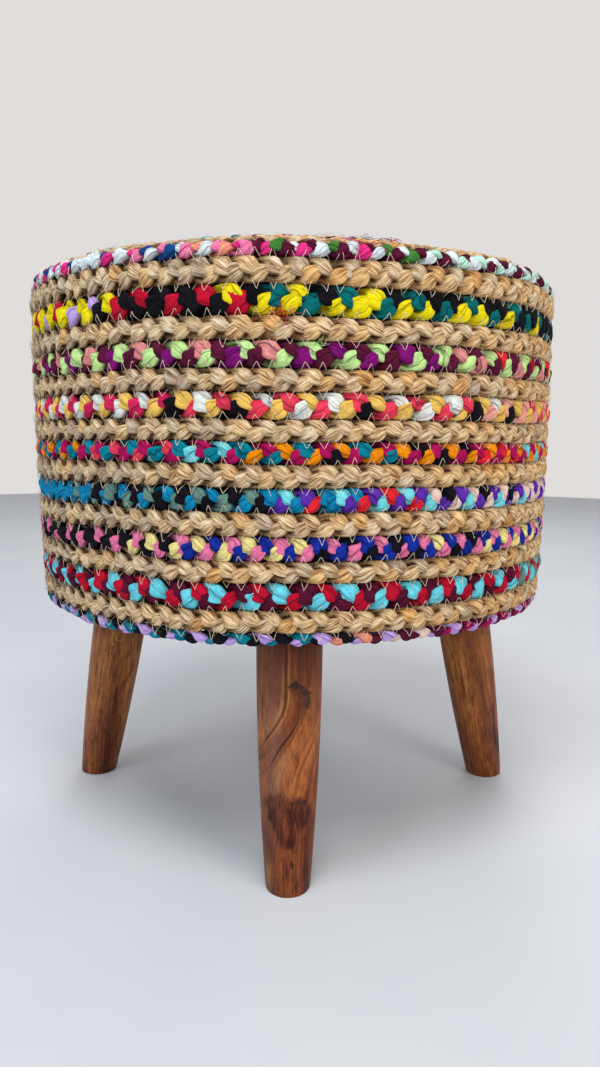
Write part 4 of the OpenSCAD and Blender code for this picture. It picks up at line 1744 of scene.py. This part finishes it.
@dataclass(frozen=True)
class Coil:
    """The spiral of jute plait that closes the middle of the top, in millimetres.

    It runs for the level's number of turns at its outer radius, which is the margin inside the last seam,
    and then turns inwards, to end at its inner radius. A strand's section is strand_r wide to either side
    of its middle and flattened by the share flat.
    """

    profile: Profile
    turns: float = 2.15
    level: float = 0.9
    inner: float = 2.4
    steps: int = 130
    around: int = 12
    margin: float = 6.0
    period: float = 30.0
    strand_r: float = 3.9
    flat: float = 0.62

    def build(self, jute: Material) -> None:
        """Builds the coil as three strands with closed ends."""
        strands = zip(*(self._strand(strand) for strand in range(3)))
        paths, normals, radii = (np.stack(part) for part in strands)
        made = open_tubes("top_centre_spiral", paths, normals, radii, self.around, self.flat)
        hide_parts("top_centre_coil")
        dress(made, jute)

    def _strand(self, strand: int) -> tuple[Array, Array, Array]:
        """Works out a strand: the weave laid along a spiral whose radius falls by a smooth step."""
        w = WEAVES[Stuff.JUTE]
        t = np.linspace(0, 1, self.steps)
        angle = TURN * self.turns * t
        outer = self.profile.coil_r - self.margin
        step = np.clip((self.turns * t - self.level) / (self.turns - self.level), 0, 1)
        radius = outer - (outer - self.inner) * step * step * (3 - 2 * step)
        steps = np.hypot(np.diff(radius * np.cos(angle)), np.diff(radius * np.sin(angle)))
        run = np.concatenate([[0], np.cumsum(steps)])
        phase = TURN * run / self.period - TURN * strand / 3
        squeeze = np.minimum(1, 0.25 + radius / 9)
        ends = np.clip(np.minimum(t, 1 - t) / 0.06, 0, 1)
        radius = radius + w.sway * 0.9 * np.sin(phase) * squeeze
        crown = self.profile.top[-1].z
        z = crown + w.centre + 0.3 - w.dive * 0.8 * np.sin(2 * phase) - 2.5 * (1 - ends) + 0.8 * (1 - squeeze)
        points = round_axis(radius, angle, z)
        normals = np.tile([0.0, 0.0, 1.0], (self.steps, 1))
        return points, normals, self.strand_r * (0.35 + 0.65 * ends) * (0.75 + 0.25 * squeeze)


@dataclass(frozen=True)
class Legs:
    """The four turned legs, in millimetres.

    A leg's axis starts at its foot's centre and leans inwards going up. Its radius at a distance s up
    the axis is top_r - (top_r - foot_r) * (1 - s / length) squared, and the foot is cut level. The edges
    are rounded in two steps, whose middle row lies at the bevel's share of the edge from both faces.
    """

    top_r: float = 22.0
    foot_r: float = 14.5
    length: float = 171.52
    lean: float = 9.5
    foot_out: float = 168.79
    bore_r: float = 4.0
    bore_deep: float = 30.0
    rows: int = 40
    around: int = 64
    edge: float = 0.9
    bevel: float = 0.29

    PICKS = (
        LegPick("front", 0.024, (1.12, 1.08, 0.95), 1.0, 1.0, (1.0, 0.25), (
            Knot((0.004, -0.02, 0.1335), (0.0042, 0.02, 0.0026), 0.004, Mark.INK),
            Knot((0.0085, -0.02, 0.13), (0.003, 0.02, 0.0028), 0.002, Mark.INK),
            Knot((0.0118, -0.018, 0.123), (0.0022, 0.02, 0.0065), 0.002, Mark.INK),
            Knot((-0.015, -0.017, 0.0985), (0.001, 0.03, 0.019), 0.0, Mark.INK, True),
            Knot((-0.0248, -0.016, 0.13), (0.0009, 0.03, 0.033), 0.0, Mark.PALE, True),
            Knot((-0.0263, -0.016, 0.127), (0.0008, 0.03, 0.038), 0.0, Mark.STAIN, True),
            Knot((-0.0282, -0.016, 0.12), (0.0009, 0.03, 0.025), 0.0, Mark.PALE, True),
            Knot((-0.008, -0.016, 0.08), (0.0045, 0.03, 0.019), 0.0, Mark.PALE, True),
            Knot((-0.0075, -0.016, 0.056), (0.007, 0.03, 0.0085), -0.004),
            Knot((0.008, -0.016, 0.0535), (0.0065, 0.03, 0.0075), 0.004),
            Knot((0.0, -0.016, 0.049), (0.008, 0.03, 0.0085), 0.002),
            Knot((-0.0005, -0.016, 0.0395), (0.0065, 0.03, 0.0095), -0.003),
            Knot((0.006, -0.016, 0.0585), (0.003, 0.03, 0.0016), 0.0, Mark.INK),
            Knot((0.0025, -0.015, 0.018), (0.0011, 0.03, 0.003), 0.0, Mark.INK),
            Knot((-0.012, -0.008, 0.012), (0.003, 0.03, 0.012), 0.0, Mark.PALE),
        )),
        LegPick("right", 0.005, (1.34, 1.45, 1.2), 0.15, 0.8, (0.45, 0.9), (
            Knot((-0.013, -0.01, 0.052), (0.0014, 0.02, 0.022), 0.002, Mark.STAIN, True),
            Knot((-0.006, -0.012, 0.027), (0.005, 0.02, 0.012), 0.003),
        )),
        LegPick("back", -0.008, (1.1, 1.2, 1.2), 0.6, 0.5, (1.0, 0.25), (
            Knot((0.0, -0.018, 0.08), (0.005, 0.02, 0.006), 0.008, Mark.INK),
        )),
        LegPick("left", -0.004, (1.1, 1.25, 1.3), 0.6, 0.5, (0.3, 1.0), (
            Knot((0.006, -0.016, 0.097), (0.0012, 0.02, 0.012), 0.002, Mark.STAIN, True),
        )),
    )

    def build(self) -> None:
        """Builds each leg and its wood, in order round the drum from the front."""
        for number, pick in enumerate(self.PICKS):
            turn = number * QUARTER
            made = self._leg(f"turned_leg_{pick.name}", turn)
            wood = LegWood(pick, turn, radians(self.lean), self.foot_out, 3.7 * number + 1.3)
            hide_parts(f"leg_{pick.name}")
            dress(made, wood.make())

    def _radius(self, s: Array) -> Array:
        """Returns the radius at a distance up the axis."""
        return self.top_r - (self.top_r - self.foot_r) * (1 - s / self.length) ** 2

    def _leg(self, name: str, turn: float) -> Object:
        """Turns one leg's outline round its axis.

        Args:
            name: The object's name.
            turn: How far round the drum it stands from the front, in radians.

        Returns:
            The object.
        """
        lean = radians(self.lean)
        spin = TURN * np.arange(self.around) / self.around
        axis = np.array([0.0, sin(lean), cos(lean)])
        wide, deep = np.array([1.0, 0.0, 0.0]), np.array([0.0, cos(lean), -sin(lean)])
        foot = np.array([0.0, -self.foot_out, 0.0])
        s, r = self._rows(spin)
        across = r[..., None] * (np.cos(spin)[:, None] * wide + np.sin(spin)[:, None] * deep)
        corners = (foot + s[..., None] * axis + across).reshape(-1, 3)
        poles = np.stack([foot, foot + (self.length - self.bore_deep) * axis])
        quads = grid_faces(len(s), self.around, False, True)
        caps = end_fans(self.around, len(s), len(corners), len(corners) + 1)
        c, t = cos(turn), sin(turn)
        turned = np.concatenate([corners, poles]) @ np.array([[c, t, 0.0], [-t, c, 0.0], [0.0, 0.0, 1.0]])
        return write_mesh(name, turned, np.concatenate([halved(quads), caps]))

    def _rows(self, spin: Array) -> tuple[Array, Array]:
        """Lists the rows: the foot's rounded edge, the side, the top's edge and the bore.

        The floor cuts the leaning leg where the distance up its axis is radius * sin(spin) * tan(lean).

        Args:
            spin: The angles round the leg's axis.

        Returns:
            Distances up the axis and radii, each as rows by angles.
        """
        lean = radians(self.lean)
        cut = self.foot_r * np.sin(spin) * tan(lean)
        for _ in range(3):
            cut = self._radius(cut) * np.sin(spin) * tan(lean)
        part = self.bevel * self.edge
        rows = []
        for inset, lift in ((self.edge, 0.0), (part, part), (0.0, self.edge)):
            reach = self._radius(cut) - inset
            rows.append((reach * np.sin(spin) * tan(lean) + lift / cos(lean), reach))
        start = rows[-1][0]
        for share in np.linspace(0, 1, self.rows)[1:-1]:
            s = start + (self.length - self.edge - start) * share
            rows.append((s, self._radius(s)))
        ends = [
            (self.length - self.edge, self.top_r),
            (self.length - part, self.top_r - part),
            (self.length, self.top_r - self.edge),
            (self.length, self.bore_r),
            (self.length - self.bore_deep, self.bore_r),
        ]
        rows += [(np.full(self.around, s), np.full(self.around, r)) for s, r in ends]
        return np.array([row[0] for row in rows]), np.array([row[1] for row in rows])


@dataclass(frozen=True)
class Padding:
    """The wadding round the wall and the crowned seat pad, in millimetres, just inside the plaits."""

    profile: Profile
    wall_r: float = 181.0
    under: float = 9.3
    pad_t: float = 40.0
    rows: int = 42
    around: int = 128

    def build(self) -> None:
        """Builds both from their outlines."""
        # The felt and the foam are dark brown-grey: partly the colour of recycled fibre, partly painted shade
        # where they show in the gaps between the plaits
        felt = Finish.FELT.make()
        foam = Finish.FOAM.make()
        base_z, pad_z = self.profile.base_z, self.profile.top[-1].z - self.under - self.pad_t
        sleeve = [(self.wall_r, pad_z), (self.wall_r, base_z)]
        sleeve += [(self._inner_r(z), z) for z in np.linspace(base_z, pad_z, self.rows)]
        fluff = lathe("wadding_sleeve", np.array(sleeve), self.around, 0.25, 11, True)
        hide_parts("side_wadding")
        dress(fluff, felt)
        edge = [(0.0, pad_z), (self._inner_r(pad_z), pad_z)]
        edge += [(self._inner_r(z), z) for z in np.linspace(pad_z + 4, self.profile.side[0].z, 8)]
        top = self.profile.top
        for seam in top:
            lean = radians(seam.lean)
            edge += [(seam.r - self.under * cos(lean), seam.z - self.under * sin(lean))]
        edge += [(0.0, top[-1].z - self.under)]
        pad = lathe("seat_pad_foam", np.array(edge), self.around, 0.2, 12, False)
        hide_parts("seat_pad")
        dress(pad, foam)

    def _inner_r(self, z: float) -> float:
        """Returns the radius of the plaits' inner face at a height."""
        p = self.profile
        off = (z - p.base_z - p.belly) / p.belly
        return p.drum_r - p.bulge - p.draw_in * off**2 - self.under


def lathe(name: str, outline: Array, around: int, rough: float, seed: int, ring: bool) -> Object:
    """Turns an outline round the drum's axis: corner (i, j) has the radius and height i at the angle j.

    Args:
        name: The object's name.
        outline: Radii and heights, from the inside over the underside and up the outside.
        around: How many columns it has.
        rough: How far, in millimetres, the surface is randomly pressed in.
        seed: The seed of the roughness.
        ring: Whether the outline closes on itself. Otherwise its ends lie on the axis.

    Returns:
        The object.
    """
    spin = TURN * np.arange(around) / around
    inner = outline if ring else outline[1:-1]
    dents = np.random.default_rng(seed).uniform(-1, 0, (len(inner), around)) * rough
    r = inner[:, :1] + dents
    points = round_axis(r, spin, np.broadcast_to(inner[:, 1:], r.shape)).reshape(-1, 3)
    faces = halved(grid_faces(len(inner), around, ring, True))
    if not ring:
        caps = end_fans(around, len(inner), len(points), len(points) + 1)
        points = np.concatenate([points, [[0, 0, outline[0, 1]], [0, 0, outline[-1, 1]]]])
        faces = np.concatenate([faces, caps])
    return write_mesh(name, points, faces)


@dataclass(frozen=True)
class Underside:
    """The calico hem and the dust cover under the base board, in millimetres.

    Both pucker a little, by a sine of the angle with a second sine inside it: the hem most at its inner
    edge, the cover most just inside its rim.
    """

    profile: Profile
    hem_in: float = 169.7
    hem_out: float = 187.2
    hem_drop: tuple[float, float] = (0.95, 0.05)
    cover_r: float = 177.0
    cover_drop: float = 1.05
    cover_t: float = 0.4
    window: float = 29.0
    window_at: float = 139.4
    cell: float = 3.6
    hem_around: int = 360
    hem_rows: int = 6
    hem_puckers: int = 46
    hem_pucker: float = 0.16
    cover_puckers: int = 24
    cover_pucker: float = 0.22

    def build(self) -> None:
        """Builds both sheets."""
        self._hem()
        self._cover()

    def _hem(self) -> None:
        """Builds the hem: a flat band, puckered where the calico is drawn in round the edge.

        Its upper face runs outwards in rows and its lower face back inwards, where it is raised by what
        the pucker, which grows with the share of the way inwards, lacks of 0.05 mm.
        """
        calico = Finish.CALICO.make()
        spin = TURN * np.arange(self.hem_around) / self.hem_around
        share = np.linspace(0, 1, self.hem_rows)[:, None]
        low, high = (self.profile.base_z - drop for drop in self.hem_drop)
        wave = np.sin(self.hem_puckers * spin + 2 * np.sin(5 * spin))
        lower = low - np.minimum(0, self.hem_pucker * share * wave - 0.05)
        z = np.concatenate([high + 0 * lower, lower])
        inwards = np.concatenate([share[::-1], share])
        r = self.hem_in + (self.hem_out - self.hem_in) * (1 - inwards) + 0 * spin
        points = round_axis(r, spin, z).reshape(-1, 3)
        faces = grid_faces(2 * self.hem_rows, self.hem_around, True, True)[:, ::-1]
        made = write_mesh("calico_hem", points, faces)
        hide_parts("hem_band")
        dress(made, calico)

    def _cover(self) -> None:
        """Builds the dust cover: a disc cut from a grid, with a window round each leg plate.

        The grid's faces look down. A side that only one of them has lies on the rim, which a wall closes.
        """
        black = Finish.DUST_CLOTH.make()
        near, far = self.window_at - self.window, self.window_at + self.window
        keys = np.array([0.0, self.window, near, far, self.cover_r])
        spans = [
            np.linspace(a, b, max(2, int(np.ceil((b - a) / self.cell)) + 1))[:-1]
            for a, b in zip(keys[:-1], keys[1:])
        ]
        half = np.concatenate(spans + [[self.cover_r]])
        line = np.concatenate([-half[:0:-1], half])
        size = len(line)
        x, y = np.meshgrid(line, line, indexing="ij")
        mid_x = (x[:-1, :-1] + x[1:, 1:]) / 2
        mid_y = (y[:-1, :-1] + y[1:, 1:]) / 2
        keep = np.hypot(mid_x, mid_y) < self.cover_r
        for cx, cy in ((0, 1), (0, -1), (1, 0), (-1, 0)):
            off = np.maximum(abs(mid_x - cx * self.window_at), abs(mid_y - cy * self.window_at))
            keep &= off > self.window
        cells = grid_faces(size, size, False, False)[keep.ravel()]
        used, flat = np.unique(cells, return_inverse=True)
        cells = flat.reshape(-1, 4)
        x, y = x.ravel()[used], y.ravel()[used]
        r = np.hypot(x, y)
        sides = np.stack([cells, np.roll(cells, -1, 1)], -1).reshape(-1, 2)
        _, which, times = np.unique(np.sort(sides, 1), axis=0, return_inverse=True, return_counts=True)
        lone = sides[times[which.ravel()] == 1]
        rim = np.zeros(len(x), bool)
        rim[lone.ravel()] = True
        outer = rim & (r > self.cover_r - 1.5 * self.cell)
        scale = np.where(outer, self.cover_r / np.maximum(r, 1), 1.0)
        x, y = x * scale, y * scale
        angle = np.arctan2(x, -y)
        slack = self.cover_pucker * np.clip(r / self.cover_r, 0, 1) ** 3
        slack = slack * np.sin(self.cover_puckers * angle + 1.2 * np.sin(3 * angle)) * (~rim)
        high = self.profile.base_z - self.cover_drop
        top = np.stack([x, y, np.full(len(x), high)], -1)
        under = np.stack([x, y, high - self.cover_t + np.maximum(slack, 0) * 0.5], -1)
        a, b = lone.T
        count = len(x)
        walls = np.stack([b + count, a + count, a, b], -1)
        faces = np.concatenate([cells[:, ::-1], cells + count, walls])
        made = write_mesh("black_dust_cover", np.concatenate([top, under]), faces)
        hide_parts("dust_cover")
        size = 2 * self.cover_r * MM
        dress(made, black)


@dataclass(frozen=True)
class Hardware:
    """Finishes for the parts of the solids that keep their own shape."""

    # By the start of a node's name, so that the plates' screws have to come before the plates
    FINISHES = {
        "leg_plate_screws": Finish.SCREW,
        "leg_plate": Finish.ZINC,
        "hanger_bolt": Finish.ZINC,
        "frame_screws": Finish.SCREW,
        "wall_staples": Finish.STAPLE,
        "hem_staples": Finish.STAPLE,
        "dust_cover_staples": Finish.STAPLE,
        "base_board": Finish.PLYWOOD,
        "top_board": Finish.PLYWOOD,
        "post": Finish.PINE,
        "side_wall": Finish.HARDBOARD,
    }

    def build(self, nodes: dict[str, Object]) -> None:
        """Gives each kept node its material, by the start of its name."""
        made = {finish: finish.make() for finish in dict.fromkeys(self.FINISHES.values())}
        for name, node in nodes.items():
            start = next((key for key in self.FINISHES if name.startswith(key)), None)
            if start is not None:
                material = made[self.FINISHES[start]]
                node.data.materials.clear()
                node.data.materials.append(material)
                LOG.info("%s: %s", name, material.name)


@dataclass(frozen=True)
class Lamp:
    """A round area lamp: where it is and what it points at in metres, its size, power and colour."""

    name: str
    at: Triple
    aim: Triple
    size: float
    power: float
    colour: Triple


@dataclass
class Studio:
    """Camera, floor and soft light. The camera's numbers were fitted to the drum and the feet."""

    camera_at: Triple = (6.4, -620.0, 295.2)
    pitch: float = 7.94
    roll: float = 0.4
    focal_px: float = 745.0
    frame_px: float = 1067.0
    sensor: float = 36.0
    floor_reach: float = 3000.0
    floor_sides: int = 96
    light: float = 0.44

    LAMPS = (
        Lamp("overhead", (-0.1, -0.8, 1.75), (0, -0.1, 0.25), 0.9, 16.0, (1.0, 1.0, 1.0)),
        Lamp("right", (1.3, -1.4, 0.9), (0, 0, 0.22), 1.0, 11.5, (1.0, 0.94, 0.86)),
        Lamp("left", (-1.5, -1.2, 0.8), (0, 0, 0.22), 1.0, 8.5, (0.76, 0.88, 1.0)),
        Lamp("back", (0.2, 1.5, 1.5), (0, 0, 0.3), 1.2, 9.0, (1.0, 1.0, 1.0)),
    )

    def build(self) -> None:
        """Makes the camera, the floor, the lamps and the world."""
        self._camera()
        self._floor()
        self._lamps()
        self._world()
        bpy.context.scene.view_settings.view_transform = "Standard"

    def _camera(self) -> None:
        """Makes the camera: it looks along +Y, down by the pitch."""
        data = bpy.data.cameras.new("camera")
        data.sensor_width = self.sensor
        data.lens = self.focal_px / self.frame_px * self.sensor
        made = in_scene("camera", data)
        turn = Euler((radians(90 - self.pitch), 0, 0)).to_matrix().to_4x4()
        place = Matrix.Translation([c * MM for c in self.camera_at])
        made.matrix_world = place @ turn @ Matrix.Rotation(radians(self.roll), 4, "Z")
        bpy.context.scene.camera = made

    def _floor(self) -> None:
        """Makes the floor: a wide flat disc."""
        n = Nodes.material("floor")
        spot = n.noise(n.place(), 3.0, scale=6.0)
        colour = n.mix(n.grade(spot, 0.3, 0.7), (222, 226, 232), (228, 231, 236))
        material = n.surface(Base_Color=colour, Roughness=0.6)
        sides = self.floor_sides
        angle = np.linspace(0, TURN, sides, endpoint=False)
        reach = self.floor_reach
        rim = np.stack([reach * np.cos(angle), reach * np.sin(angle), np.zeros(sides)], axis=-1)
        points = np.concatenate([rim, [[0, 0, 0]]])
        ring = np.arange(sides)
        faces = np.stack([ring, (ring + 1) % sides, np.full(sides, sides)], axis=-1)
        made = write_mesh("floor", points, faces)
        made.data.materials.append(material)

    def _lamps(self) -> None:
        """Makes the lamps: the strongest overhead, a warm and a cool one at the sides and one behind."""
        for lamp in self.LAMPS:
            data = bpy.data.lights.new(lamp.name, "AREA")
            data.color = lamp.colour
            data.shape = "DISK"
            data.size = lamp.size
            data.energy = lamp.power
            made = in_scene(lamp.name, data)
            away = Vector(lamp.at) - Vector(lamp.aim)
            turn = away.to_track_quat("Z", "Y").to_matrix().to_4x4()
            made.matrix_world = Matrix.Translation(lamp.at) @ turn

    def _world(self) -> None:
        """Makes the world: an even pale light, and a brighter backdrop to the camera and reflections."""
        world = bpy.data.worlds.new("studio")
        bpy.context.scene.world = world
        n = Nodes(world)
        around = {"Color": (*linear((232, 233, 236)), 1.0), "Strength": self.light}
        wall = {"Color": (*linear((224, 221, 219)), 1.0)}
        path = n.node("ShaderNodeLightPath", out="Is Camera Ray")
        seen = path.at_least(path.other("Is Glossy Ray")).at_least(path.other("Is Transmission Ray"))
        shades = {
            0: seen,
            1: n.node("ShaderNodeBackground", None, around),
            2: n.node("ShaderNodeBackground", None, wall),
        }
        n.end("ShaderNodeOutputWorld", n.node("ShaderNodeMixShader", None, shades))


def main() -> None:
    """Builds the object's pieces in order."""
    logging.basicConfig(level=logging.INFO, format="%(name)s: %(message)s")
    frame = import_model()
    Studio().build()
    profile = Profile()
    Cover(profile).build()
    Legs().build()
    Padding(profile).build()
    Underside(profile).build()
    Hardware().build(frame["nodes"])


if __name__ == "__main__":
    main()
